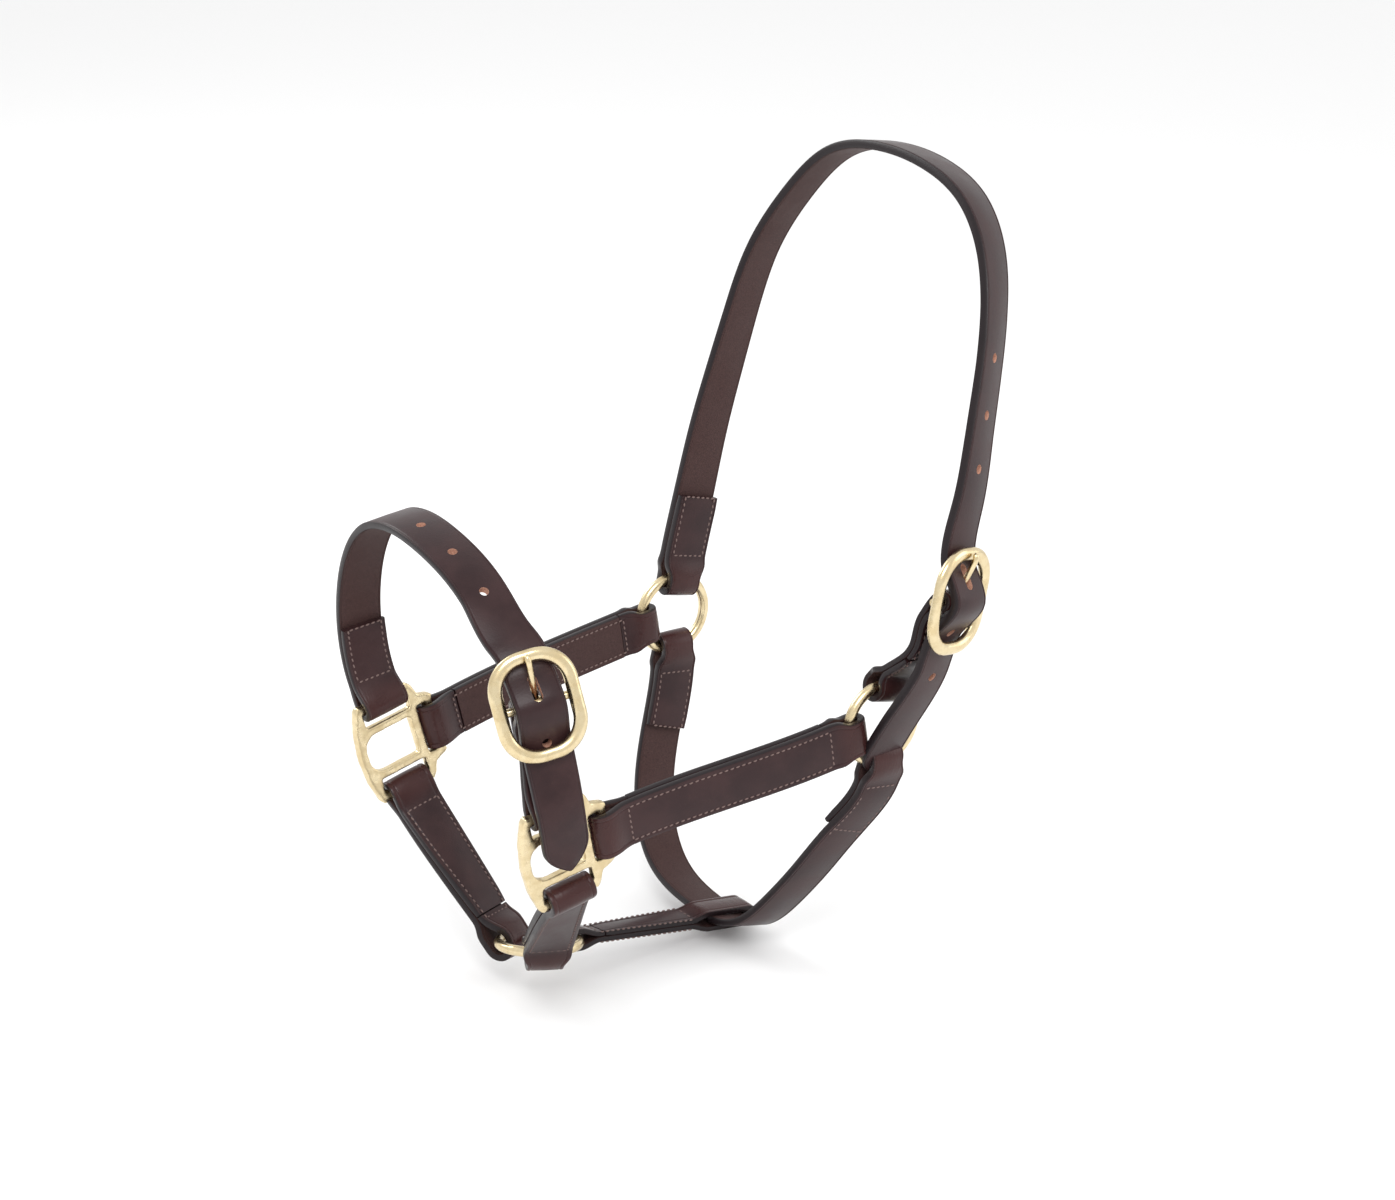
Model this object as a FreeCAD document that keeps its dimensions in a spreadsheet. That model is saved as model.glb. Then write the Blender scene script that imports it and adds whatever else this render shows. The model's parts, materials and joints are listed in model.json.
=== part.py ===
import FreeCAD, Part
import Sketcher
import math
import os
from FreeCAD import Placement, Rotation, Vector

# A leather headcollar, hanging as it sits on a head: +Z up, +X towards the ears and the neck,
# -Y the near (left) side, where it buckles.  The origin is the underside of the crown strap at
# its highest point, where the headcollar rests on the poll.  Millimetres and degrees.

doc = FreeCAD.newDocument("headcollar")

SIZES = [
    # leather
    ("strap_width", 24.0, "width of the nose, cheek, chin, throat and crown straps"),
    ("strap_thick", 3.8, "thickness of the single straps"),
    ("crown_thick", 4.4, "thickness of the crown strap"),
    ("connector_width", 16.0, "width of the strap under the jaw"),
    ("connector_thick", 2.8, "thickness of one layer of the strap under the jaw"),
    ("chape_thick", 3.0, "thickness of one layer of the buckle chapes"),
    ("ring_waist", 16.5, "width to which a strap is gathered round a ring"),
    ("layer_gap", 0.3, "glue line between two stitched layers"),
    ("bar_play", 0.5, "play of a leather loop round a bar or a ring"),
    ("throat_play", 2.8, "play of the throat strap in the jaw strap's loop"),
    ("piece_gap", 0.4, "gap between leather pieces that lie against each other"),
    ("nose_return", 42.0, "stitched fold-back of the nose strap at the off square"),
    ("crown_return", 46.0, "stitched fold-back of the crown strap at the off ring"),
    ("throat_return", 44.0, "stitched fold-backs of the throat strap"),
    ("cheek_return", 15.0, "fold-backs of the cheek pieces"),
    ("ring_return", 15.0, "fold-back of a doubled strap at its ring"),
    ("hole_width", 4.6, "diameter of a punched hole"),
    ("tongue_slot", 15.0, "length of the hole that the buckle tongue goes through"),
    ("hole_pitch", 27.0, "distance from one punched hole to the next"),
    # brass
    ("ring_radius", 19.85, "middle radius of the cheek rings and the chin ring"),
    ("ring_wire", 2.65, "radius of the wire of the rings"),
    ("slot_play", 2.0, "play of a strap along its bar in the square, both sides together"),
    ("square_thick", 4.6, "thickness of the cast square"),
    ("square_bar", 2.6, "radius of the three outer bars of the square"),
    ("square_reach", 24.3, "from the middle of the square to its nose bar and its chin bar"),
    ("cheek_bar_reach", 26.4, "from the middle of the square to its cheek bar"),
    ("slot_shift", 2.7, "how far the nose and chin slots sit behind the middle of the square"),
    ("web_edge", 14.4, "from the middle of the square to the floor of its nose and chin slots"),
    ("cheek_web_edge", 19.1, "from the middle of the square to the floor of its cheek slot"),
    ("window_long", 27.5, "opening of the square, front to back"),
    ("window_high", 20.0, "opening of the square, top to bottom"),
    ("window_round", 7.5, "radius of the front corners of the opening"),
    ("rail_bulge", 18.8, "how far the front rail stands ahead of the middle of the square"),
    ("ear", 4.1, "wall of the square at the ends of its outer bars"),
    ("buckle_long", 46.5, "buckle frame along the strap, between the middles of its wire"),
    ("buckle_wide", 36.0, "buckle frame across the strap, between the middles of its wire"),
    ("buckle_wire", 2.7, "radius of the buckle frame's wire"),
    ("buckle_corner", 15.0, "radius of the buckle frame's corners, to the middle of its wire"),
    ("buckle_bar", 2.0, "radius of the buckle's centre bar"),
    ("buckle_set", 2.5, "how far the frame's wire stands in front of its bar"),
    ("tongue_wire", 1.6, "radius of the buckle tongue"),
    ("tongue_eye", 5.0, "length of the tongue's eye on its bar"),
    ("tongue_wall", 1.5, "wall of the tongue's eye"),
    ("pivot_play", 0.06, "running play of the tongue on its bar"),
    # layout
    ("crown_rise", 265.0, "from the axis of the cheek rings up to the underside of the crown"),
    ("crown_behind", 13.0, "how far the crown's top stands behind the plane of its sides"),
    ("crown_lean", 12.0, "backward lean of the crown loop's sides"),
    ("ring_span", 182.0, "between the two cheek rings"),
    ("cheek_reach", 179.0, "from the cheek rings forward to the squares"),
    ("cheek_fall", 28.5, "from the cheek rings down to the squares"),
    ("square_span", 156.0, "between the two squares"),
    ("square_tilt", 12.6, "the squares' backs tilt up by this"),
    ("square_toe", 3.0, "the squares' backs stand out by this"),
    ("square_cant", 4.7, "the squares' tops stand out by this"),
    ("nose_lean", 7.0, "forward lean of the nose loop"),
    ("nose_rise", 115.0, "height of the nose loop above the squares' nose bars"),
    ("chin_behind", 37.5, "from the squares back to the chin ring"),
    ("chin_drop", 88.0, "from the squares down to the chin ring"),
    ("chin_fan", 114.0, "angle on the chin ring between the jaw strap and a chin strap"),
    ("chin_roll", 10.0, "the chin ring's off side hangs down by this"),
    ("throat_drop", 134.5, "from the ring axis down to the lowest point of the throat strap"),
    ("throat_lean", 13.5, "forward lean of the throat loop"),
    ("crown_buckle_rise", 73.0, "from the near ring up to the crown buckle's bar"),
    ("crown_buckle_out", 35.0, "how far the crown buckle's bar stands outside the near ring"),
    ("crown_buckle_turn", 16.0, "turn of the crown buckle to face the back"),
    ("nose_buckle_rise", 54.0, "from the near square's nose bar up to the nose buckle's bar"),
    ("nose_buckle_in", 1.0, "how far the nose buckle's bar stands inside the near nose bar"),
    ("nose_buckle_lean", 15.0, "inward lean of the nose buckle"),
    ("nose_buckle_turn", -15.0, "turn of the nose buckle, to face the front"),
]

sheet = doc.addObject("Spreadsheet::Sheet", "sizes")
for row, (alias, value, note) in enumerate(SIZES, start=1):
    sheet.set(f"A{row}", alias)
    sheet.set(f"B{row}", str(value))
    sheet.set(f"C{row}", note)
    sheet.setAlias(f"B{row}", alias)
doc.recompute()


def size(name):
    return float(getattr(sheet, name))


def lean(angle):
    """Sine and cosine of an angle in degrees."""
    return math.sin(math.radians(angle)), math.cos(math.radians(angle))


class Frame:
    """A place with three axes: u and v span a face, w is its outward normal."""

    def __init__(self, origin, u, v):
        self.origin = origin
        self.u = Vector(u).normalize()
        self.w = self.u.cross(v).normalize()
        self.v = self.w.cross(self.u)

    def at(self, u=0.0, v=0.0, w=0.0):
        return self.origin + self.u * u + self.v * v + self.w * w

    def shifted(self, u=0.0, v=0.0, w=0.0):
        return Frame(self.at(u, v, w), self.u, self.v)

    def placement(self):
        return Placement(self.origin, Rotation(self.u, self.v, self.w, "XYZ"))


# ------------------------------------------------------------------ layout

AHEAD, OFF_SIDE, UP = Vector(-1, 0, 0), Vector(0, 1, 0), Vector(0, 0, 1)
SIDES = {"off": 1.0, "near": -1.0}

crown_sin, crown_cos = lean(size("crown_lean"))
throat_sin, throat_cos = lean(size("throat_lean"))
nose_sin, nose_cos = lean(size("nose_lean"))

# Each strap loop lies in a plane through its two anchors: first axis across the head, second
# axis away from the anchors.
CROWN_UP, CROWN_BACK = Vector(crown_sin, 0, crown_cos), Vector(crown_cos, 0, -crown_sin)
THROAT_DOWN, THROAT_BACK = Vector(-throat_sin, 0, -throat_cos), Vector(throat_cos, 0, -throat_sin)
NOSE_UP, NOSE_BACK = Vector(-nose_sin, 0, nose_cos), Vector(nose_cos, 0, nose_sin)
RING_AXIS = CROWN_UP * -size("crown_rise") - CROWN_BACK * size("crown_behind")

ring_centre = {name: RING_AXIS + OFF_SIDE * (side * size("ring_span") / 2)
               for name, side in SIDES.items()}


def square_frame(side):
    """u points back along the cheek, v up, w away from the off side on both squares."""
    centre = RING_AXIS + AHEAD * size("cheek_reach") - UP * size("cheek_fall")
    centre += OFF_SIDE * (side * size("square_span") / 2)
    tilt_sin, tilt_cos = lean(size("square_tilt"))
    toe_sin, toe_cos = lean(size("square_toe"))
    cant_sin, cant_cos = lean(size("square_cant"))
    back = Vector(tilt_cos, 0, tilt_sin) * toe_cos + OFF_SIDE * (side * toe_sin)
    upright = Vector(-tilt_sin, 0, tilt_cos) * cant_cos + OFF_SIDE * (side * cant_sin)
    return Frame(centre, back, upright)


square = {name: square_frame(side) for name, side in SIDES.items()}
nose_bar = {name: frame.at(size("slot_shift"), size("square_reach"))
            for name, frame in square.items()}
chin_bar = {name: frame.at(size("slot_shift"), -size("square_reach"))
            for name, frame in square.items()}
cheek_bar = {name: frame.at(size("cheek_bar_reach")) for name, frame in square.items()}

throat_floor = RING_AXIS + THROAT_DOWN * size("throat_drop")
squares_middle = (square["off"].origin + square["near"].origin) * 0.5
chin_centre = squares_middle - AHEAD * size("chin_behind") - UP * size("chin_drop")
JAW_BACK = (throat_floor - chin_centre).normalize()
roll_sin, roll_cos = lean(size("chin_roll"))
chin_ring = Frame(chin_centre, JAW_BACK, OFF_SIDE * roll_cos - UP * roll_sin)


def buckle_place(origin, up, back, lean_in, turn):
    """A buckle on the near side: u across its strap, v up along it, w out of its face."""
    lean_sin, lean_cos = lean(lean_in)
    turn_sin, turn_cos = lean(turn)
    along = up * lean_cos + OFF_SIDE * lean_sin
    across = back * turn_cos + along.cross(back) * turn_sin
    return Frame(origin, across, along)


crown_buckle = buckle_place(
    ring_centre["near"] + CROWN_UP * size("crown_buckle_rise")
    - OFF_SIDE * size("crown_buckle_out"),
    CROWN_UP, CROWN_BACK, 0.0, size("crown_buckle_turn"))
nose_buckle = buckle_place(
    nose_bar["near"] + NOSE_UP * size("nose_buckle_rise") + OFF_SIDE * size("nose_buckle_in"),
    NOSE_UP, NOSE_BACK, size("nose_buckle_lean"), size("nose_buckle_turn"))


# ------------------------------------------------------------------ leather

class Station:
    """One place on a strap's route: a point, the way on, the strap's width and its outer face."""

    def __init__(self, point, along, across, distance=0.0, width=0.0):
        self.point, self.along, self.distance, self.width = point, along, distance, width
        self.across = (across - along * across.dot(along)).normalize()
        self.front = self.across.cross(along)


class Eye:
    """The end of a strap that wraps a bar or a ring: its free half height and its depth."""

    def __init__(self, half_gap, depth=0.0, waist=None):
        self.half_gap, self.depth, self.waist = half_gap, depth, waist


def bar_eye(radius):
    return Eye(radius + size("bar_play"))


def ring_eye(width, slope=0.0):
    """An eye round a ring; slope is the angle between the strap and the ring's plane."""
    inner = size("ring_radius") - size("ring_wire")
    sagitta = inner - math.sqrt(inner ** 2 - (width / 2) ** 2)
    slope_sin, slope_cos = lean(slope)
    half_gap = size("ring_wire") + size("bar_play") + sagitta * slope_sin
    return Eye(half_gap, sagitta * slope_cos, width)


def route(points, acrosses, start=None, end=None, stops=()):
    """Stations along a smooth curve through the points, closer together where it bends.

    acrosses gives the way the strap's width points at each point; it turns evenly in between.
    stops are distances that get a station of their own, counted from the end when negative.
    """
    near_end, end_step, long_step, most_turn, lead = 18.0, 3.0, 9.0, math.radians(7.0), 8.0
    if start:
        start = Vector(start).normalize()
        points = points[:1] + [points[0] + start * lead] + points[1:]
        acrosses = acrosses[:1] + acrosses
    if end:
        end = Vector(end).normalize()
        points = points[:-1] + [points[-1] - end * lead] + points[-1:]
        acrosses = acrosses + acrosses[-1:]
    curve = Part.BSplineCurve()
    curve.interpolate(Points=points)
    knots = [curve.parameter(point) for point in points]
    total = curve.length()

    def heading(distance):
        parameter = curve.parameterAtDistance(distance, curve.FirstParameter)
        return Vector(*curve.tangent(parameter)[0]).normalize()

    marks = [0.0, near_end, total - near_end, total]
    marks = sorted(marks + [stop if stop > 0 else total + stop for stop in stops])
    distances = [0.0]
    for low, high in zip(marks, marks[1:]):
        longest = end_step if high <= near_end or low >= total - near_end else long_step
        ticks = max(1, math.ceil(high - low))
        last, way = low, heading(low)
        for tick in range(1, ticks):
            distance = low + (high - low) * tick / ticks
            far = distance + (high - low) / ticks - last > longest
            if far or way.getAngle(heading(distance)) > most_turn:
                distances.append(distance)
                last, way = distance, heading(distance)
        if high > low:
            distances.append(high)
    stations = []
    for distance in distances:
        parameter = curve.parameterAtDistance(distance, curve.FirstParameter)
        span = 0
        while span < len(knots) - 2 and parameter > knots[span + 1]:
            span += 1
        part = (parameter - knots[span]) / (knots[span + 1] - knots[span])
        across = acrosses[span] * (1 - part) + acrosses[span + 1] * part
        along = heading(distance)
        for given, reach in ((start, distance), (end, total - distance)):
            if given and reach < lead:
                along = given * (1 - reach / lead) + along * (reach / lead)
        stations.append(Station(curve.value(parameter), along.normalize(), across, distance))
    return stations


def strap(stations, width, thick, eyes, returns):
    """The sections of a strap that follows a route and may fold back round a bar at each end.

    eyes holds an Eye or None for each end, returns the lengths of the two fold-backs.  The
    strap's main layer runs on the front side of the route, its fold-backs on the other side.
    """
    layer = (thick + size("layer_gap")) / 2
    total = stations[-1].distance
    arc_steps = 9
    open_reach = 7.0

    def section(station, out, wide, back=0.0):
        point = station.point + station.front * out - station.along * back
        return Station(point, station.along, station.across, station.distance, wide)

    def laid(station, side):
        """A section on one side of the route, opening towards an eye when one is near."""
        out, wide = layer, width
        for eye, reach in zip(eyes, (station.distance, total - station.distance)):
            if eye:
                turn = eye.half_gap + thick / 2
                swell = 0.5 + 0.5 * math.cos(math.pi * min(reach / (turn + open_reach), 1.0))
                out += (turn - layer) * swell
                wide += ((eye.waist or width) - width) * swell
        return section(station, side * out, wide)

    def turned(station, eye, way, side):
        """The half turn round the bar, starting on one side of the route."""
        turn = eye.half_gap + thick / 2
        sections = []
        for step in range(1, arc_steps):
            angle = math.pi * step / arc_steps
            sections.append(section(station, side * turn * math.cos(angle), eye.waist or width,
                                    way * (eye.depth + turn * math.sin(angle))))
        if eye.depth > 0:
            first, last = side * turn, -side * turn
            sections.insert(0, section(station, first, eye.waist or width, way * eye.depth))
            sections.append(section(station, last, eye.waist or width, way * eye.depth))
        return sections

    sections = []
    if eyes[0]:
        sections += [laid(one, -1) for one in reversed(stations) if one.distance <= returns[0]]
        sections += turned(stations[0], eyes[0], 1, -1)
    sections += [laid(one, 1) for one in stations]
    if eyes[1]:
        sections += turned(stations[-1], eyes[1], -1, 1)
        sections += [laid(one, -1) for one in reversed(stations)
                     if total - one.distance <= returns[1]]
    return sections


def skin(sections, thick):
    """A closed solid: rectangular sections square to the route, joined one to the next."""
    wires = []
    for place, section in enumerate(sections):
        before = sections[max(place - 1, 0)].point
        after = sections[min(place + 1, len(sections) - 1)].point
        along = (after - before).normalize()
        across = (section.across - along * section.across.dot(along)).normalize()
        out = across.cross(along) * (thick / 2)
        side = across * (section.width / 2)
        corners = [section.point + side + out, section.point - side + out,
                   section.point - side - out, section.point + side - out]
        wires.append(Part.makePolygon(corners + corners[:1]))
    return Part.makeLoft(wires, True, True)


def round_tip(sections, reach):
    """Narrows the last stretch of a strap to a rounded point."""
    left = 0.0
    for place in range(len(sections) - 1, 0, -1):
        if left >= reach:
            break
        share = 1 - left / reach
        sections[place].width *= 0.25 + 0.75 * math.sqrt(1 - share ** 2)
        left += (sections[place].point - sections[place - 1].point).Length
    return sections


def add_piece(label, shape):
    piece = doc.addObject("Part::Feature", label)
    piece.Label = label
    piece.Shape = shape
    piece.Placement = Placement()
    return piece


def punch(shape, frame, length, width):
    """Cuts a round-ended hole at a frame: v along the strap, w out of its face."""
    reach = 3 * size("strap_thick")
    half = (length - width) / 2
    cutter = Part.makeCylinder(width / 2, 2 * reach, frame.at(0, half, -reach), frame.w)
    if half > 0:
        other = Part.makeCylinder(width / 2, 2 * reach, frame.at(0, -half, -reach), frame.w)
        middle = block(frame, (-width / 2, width / 2), (-half, half), (-reach, reach))
        cutter = cutter.fuse([other, middle])
    return shape.cut(cutter)


def block(frame, us, vs, ws):
    """A box in a frame, from its low and high edges along u, v and w."""
    shape = Part.makeBox(us[1] - us[0], vs[1] - vs[0], ws[1] - ws[0], Vector(us[0], vs[0], ws[0]))
    shape.Placement = frame.placement()
    return shape


def hole_places(stations, distances, thick):
    """Frames on the middle of a strap's main layer, at distances along its route."""
    layer = (thick + size("layer_gap")) / 2
    places = []
    for distance in distances:
        after = next(one for one in stations if one.distance >= distance)
        before = stations[max(stations.index(after) - 1, 0)]
        span = max(after.distance - before.distance, 0.001)
        part = (distance - before.distance) / span
        point = before.point * (1 - part) + after.point * part
        front = before.front * (1 - part) + after.front * part
        places.append(Frame(point + front.normalize() * layer, after.across, after.along))
    return places


# ------------------------------------------------------------------ straps

THICK, CROWN_THICK, CHAPE_THICK = size("strap_thick"), size("crown_thick"), size("chape_thick")
WIDE, WAIST = size("strap_width"), size("ring_waist")
LAP = (THICK + size("layer_gap")) / 2
OVER_BAR = size("buckle_bar") + size("bar_play") + CHAPE_THICK + size("piece_gap")
UNDER_WIRE = size("buckle_wire") + size("piece_gap")
HALF_BUCKLE = size("buckle_long") / 2
CHAPE_PLY = 2 * CHAPE_THICK + size("layer_gap")
CORNER_INSET = WIDE / 2 - (size("buckle_wide") / 2 - size("buckle_corner"))
BUCKLE_PASS = (HALF_BUCKLE - size("buckle_corner")
               + math.sqrt(size("buckle_corner") ** 2 - CORNER_INSET ** 2))
TONGUE_RISE = (size("buckle_set") + size("buckle_wire") + size("tongue_wire")
               + 2 * size("piece_gap"))
TONGUE_SLOPE = TONGUE_RISE / HALF_BUCKLE


def doubled(points, acrosses, start=None, end=None, first=None, last=None):
    """A route for a strap whose two fold-backs meet, and their lengths.

    They meet in its middle, or as far from one end as first or last gives.
    """
    half_seam = size("layer_gap") / 2
    total = route(points, acrosses, start, end)[-1].distance
    meet = first or total - (last or total / 2)
    stations = route(points, acrosses, start, end, (meet - half_seam, meet + half_seam))
    return stations, (meet - half_seam + 0.01, total - meet - half_seam + 0.01)


def square_off(direction, bar):
    """The part of a direction that is square to a bar, so that a strap wraps it evenly."""
    return direction - bar * direction.dot(bar)


def in_plane(base, up, across, rise):
    """A point of a loop that lies in a plane: across the head and up from the anchors."""
    return base + OFF_SIDE * across + up * rise


def billet_bends(thick):
    """Radii of a billet's middle under the wire and over the bar, and its slope between them."""
    under = UNDER_WIRE + thick / 2
    over = OVER_BAR + thick / 2
    apart = math.hypot(BUCKLE_PASS, size("buckle_set"))
    set_back = math.atan2(size("buckle_set"), BUCKLE_PASS)
    return under, over, math.asin((under + over) / apart) - set_back


def through_buckle(buckle, thick):
    """The billet's way through a buckle: under the wire, over the bar, under the wire."""
    under, over, slope = billet_bends(thick)
    layer = (thick + size("layer_gap")) / 2
    front = size("buckle_set")
    places = []
    for turn in (0.0, slope):
        places.append((BUCKLE_PASS - under * math.sin(turn), front - under * math.cos(turn),
                       -turn))
    places.append((BUCKLE_PASS / 2 + (over - under) / 2 * math.sin(slope),
                   front / 2 + (over - under) / 2 * math.cos(slope), -slope))
    places.append((over * math.sin(slope), over * math.cos(slope), -slope))
    places.append((0.0, over, 0.0))
    places += [(-along, out, -turn) for along, out, turn in reversed(places[:-1])]
    return [buckle.at(0, along + layer * math.sin(turn), out - layer * math.cos(turn))
            for along, out, turn in places]


def tongue_place(thick):
    """How far along the billet, from the top of the bar, the tongue comes up through it."""
    under, over, slope = billet_bends(thick)
    rise = (over - size("tongue_wire") * math.cos(slope)) / math.cos(slope)
    across = rise / (math.tan(slope) + TONGUE_SLOPE)
    return over * slope + (across - over * math.sin(slope)) / math.cos(slope)


def make_crown_strap():
    half = size("ring_span") / 2
    rise = size("crown_rise")

    def at(across, up, behind=0.0):
        return in_plane(RING_AXIS, CROWN_UP, across, up) + CROWN_BACK * behind

    top = rise + CROWN_THICK / 2 - LAP
    back = size("crown_behind")
    bend = [at(half - 1, 66, 1), at(half - 1, 100, 3), at(half - 2, 133, 6), at(half - 5, 165, 8),
            at(half - 11, 198, 10), at(half - 29, 231, 12), at(half - 53, top - 10, back),
            at(0, top, back), at(-37, top - 2, back), at(25 - half, top - 12, back),
            at(4 - half, top - 32, 12), at(-8 - half, top - 56, 10), at(-15 - half, top - 84, 8),
            at(-21 - half, top - 115, 5), at(-26 - half, top - 146, 2)]
    buckled = through_buckle(crown_buckle, CROWN_THICK)
    tail = [at(-27 - half, 38), at(-19 - half, 20), at(-13 - half, 6), at(-12 - half, -2)]
    start = at(half, size("ring_radius"))
    points = [start] + bend + buckled + tail
    # The strap's back edge turns to the off side as it comes over the head.
    twists = [0, 0, 0.08, 0.16, 0.24, 0.28, 0.3, 0.32, 0.34, 0.38, 0.42, 0.46, 0.5, 0.5, 0.45, 0.36]
    acrosses = [CROWN_BACK + OFF_SIDE * twist for twist in twists]
    acrosses += [crown_buckle.u] * (len(buckled) + 1)
    acrosses += [CROWN_BACK + crown_buckle.u] * 2 + [CROWN_BACK] * (len(tail) - 3)
    stations = route(points, [one * -1 for one in acrosses], start=CROWN_UP,
                     stops=(size("crown_return"),))
    sections = strap(stations, WIDE, CROWN_THICK, (ring_eye(WAIST), None),
                     (size("crown_return") + 0.01, 0))
    return stations, skin(round_tip(sections, 0.7 * WIDE), CROWN_THICK)


def make_nose_strap():
    middle = (nose_bar["off"] + nose_bar["near"]) * 0.5
    half = (nose_bar["off"] - nose_bar["near"]).Length / 2
    rise = size("nose_rise")

    def at(across, up):
        return in_plane(middle, NOSE_UP, across, up)

    leave = square_off(OFF_SIDE * 0.42 + NOSE_UP, square["off"].u)
    bend = [at(half + 10, 34), at(half + 4, 59), at(half - 12, 87), at(half - 38, rise - 7),
            at(half - 62, rise - LAP), at(half - 84, rise - 4), at(37 - half, rise - 20),
            at(20 - half, rise - 34)]
    buckled = through_buckle(nose_buckle, THICK)
    near = square["near"]
    clear = size("square_bar") + size("bar_play") + CHAPE_THICK + size("piece_gap") + THICK / 2
    tail = [near.at(size("slot_shift"), size("square_reach") + 4, clear + 0.5 - LAP),
            near.at(size("slot_shift"), 8, clear - 1.0 - LAP),
            near.at(size("slot_shift"), -6, clear - 2.0 - LAP)]
    points = [nose_bar["off"]] + bend + buckled + tail
    acrosses = [square["off"].u] + [NOSE_BACK] * (len(bend) - 1)
    acrosses += [nose_buckle.u] * (len(buckled) + 1) + [near.u] * len(tail)
    stations = route(points, [one * -1 for one in acrosses], start=leave,
                     stops=(size("nose_return"),))
    sections = strap(stations, WIDE, THICK, (bar_eye(size("square_bar")), None),
                     (size("nose_return") + 0.01, 0))
    return stations, skin(round_tip(sections, 0.7 * WIDE), THICK)


def make_chape(buckle, anchor, anchor_across, leave, eye_at_anchor, width):
    """A double strap from an anchor round the buckle's bar, behind the billet and the wire."""
    behind = -UNDER_WIRE - CROWN_THICK - 4 * size("piece_gap") - CHAPE_PLY / 2
    points = [anchor, buckle.at(0, -HALF_BUCKLE, behind),
              buckle.at(0, -HALF_BUCKLE / 2, behind * 0.9), buckle.origin]
    acrosses = [anchor_across * -1] + [buckle.u * -1] * 3
    stations, folds = doubled(points, acrosses, leave, buckle.v + buckle.w)
    sections = strap(stations, width, CHAPE_THICK,
                     (eye_at_anchor, bar_eye(size("buckle_bar"))), folds)
    half = size("tongue_eye") / 2 + size("piece_gap")
    slot = block(buckle, (-half, half), (-0.8 * OVER_BAR, OVER_BAR), (-OVER_BAR, OVER_BAR))
    return skin(sections, CHAPE_THICK).cut(slot)


def make_cheek(name):
    """The cheek piece, from the square's cheek bar to its ring, and the layer that backs it."""
    side, frame, centre = SIDES[name], square[name], ring_centre[name]
    reach = (frame.origin - centre)
    reach.y = 0
    reach.normalize()
    ring_point = centre + reach * size("ring_radius")
    tangent = OFF_SIDE.cross(reach)
    points = [cheek_bar[name], ring_point]
    acrosses = [frame.v * side, tangent * side]
    fold, seam = size("cheek_return"), size("layer_gap")
    start = square_off(points[1] - points[0], frame.v)
    stations = route(points, acrosses, start, reach * -1,
                     (fold, fold + seam, -fold - seam, -fold))
    sections = strap(stations, WIDE, THICK, (bar_eye(size("square_bar")), ring_eye(WAIST)),
                     (fold + seam / 2, fold + seam / 2))
    total = stations[-1].distance
    first, last = fold + seam / 2, total - fold - seam / 2
    inner = [one for one in stations if first <= one.distance <= last]
    backing = [Station(one.point - one.front * LAP, one.along, one.across, one.distance, WIDE)
               for one in inner]
    return skin(sections, THICK), skin(backing, THICK)


def make_chin_strap(name):
    """The strap from the square's chin bar down to the chin ring, doubled and stitched."""
    side, frame = SIDES[name], square[name]
    fan_sin, fan_cos = lean(size("chin_fan"))
    out = chin_ring.u * fan_cos + chin_ring.v * (side * fan_sin)
    tangent = chin_ring.u * fan_sin - chin_ring.v * (side * fan_cos)
    points = [chin_bar[name], chin_ring.origin + out * size("ring_radius")]
    drop = (points[1] - points[0]).normalize()
    slope = math.degrees(math.acos(abs(drop.dot(out))))
    start = square_off(drop, frame.u)
    stations, folds = doubled(points, [frame.u * side, tangent * side], start, drop,
                              last=size("ring_return"))
    sections = strap(stations, WIDE, THICK, (bar_eye(size("square_bar")), ring_eye(WAIST, slope)),
                     folds)
    return skin(sections, THICK)


def make_throat_strap():
    half = size("ring_span") / 2
    drop = size("throat_drop")
    floor = drop - LAP

    def at(across, down, behind=0.0):
        return in_plane(RING_AXIS, THROAT_DOWN, across, down) + THROAT_BACK * behind

    off_shape = [(half - 4, 66, 6), (half - 8, 85, 4.5), (half - 17, 104, 2.5),
                 (half - 37, floor - 9, 1), (half - 63, floor - 1.5, 0)]

    off_ring_point = ring_centre["off"] - UP * size("ring_radius")
    near_ring_point = ring_centre["near"] - UP * size("ring_radius")
    near_shape = [(10, floor, 0), (-8, floor, 0), (-24, floor - 5, 0), (-43, floor - 24, 1),
                  (-59, floor - 47, 2), (-74, floor - 72, 4)]
    points = [off_ring_point] + [at(*place) for place in off_shape + near_shape]
    points.append(near_ring_point)
    acrosses = [Vector(1, 0, 0)] + [THROAT_BACK] * (len(points) - 2) + [Vector(1, 0, 0)]
    fold = size("throat_return")
    stations = route(points, acrosses, UP * -1, UP + OFF_SIDE * -0.15, (fold, -fold))
    sections = strap(stations, WIDE, THICK, (ring_eye(WAIST), ring_eye(WAIST)),
                     (fold + 0.01, fold + 0.01))
    return stations, skin(sections, THICK)


def make_connector():
    """The jaw strap: a folded band from the chin ring round the throat strap."""
    thick, width = size("connector_thick"), size("connector_width")
    points = [chin_ring.at(size("ring_radius")), throat_floor - JAW_BACK * (WIDE / 2)]
    stations, folds = doubled(points, [chin_ring.v, OFF_SIDE], first=size("ring_return"))
    loop = Eye(THICK / 2 + size("throat_play"), WIDE)
    sections = strap(stations, width, thick, (ring_eye(width), loop), folds)
    return skin(sections, thick)


# ------------------------------------------------------------------ brass

class Length:
    """A length that knows its value now and the sheet's expression for it."""

    def __init__(self, value, text):
        self.value, self.text = value, text

    def __add__(self, other):
        other = length(other)
        return Length(self.value + other.value, f"({self.text} + {other.text})")

    def __neg__(self):
        return Length(-self.value, f"(-{self.text})")

    def __sub__(self, other):
        return self + -length(other)

    def __mul__(self, factor):
        return Length(self.value * factor, f"({self.text} * {factor})")


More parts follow.
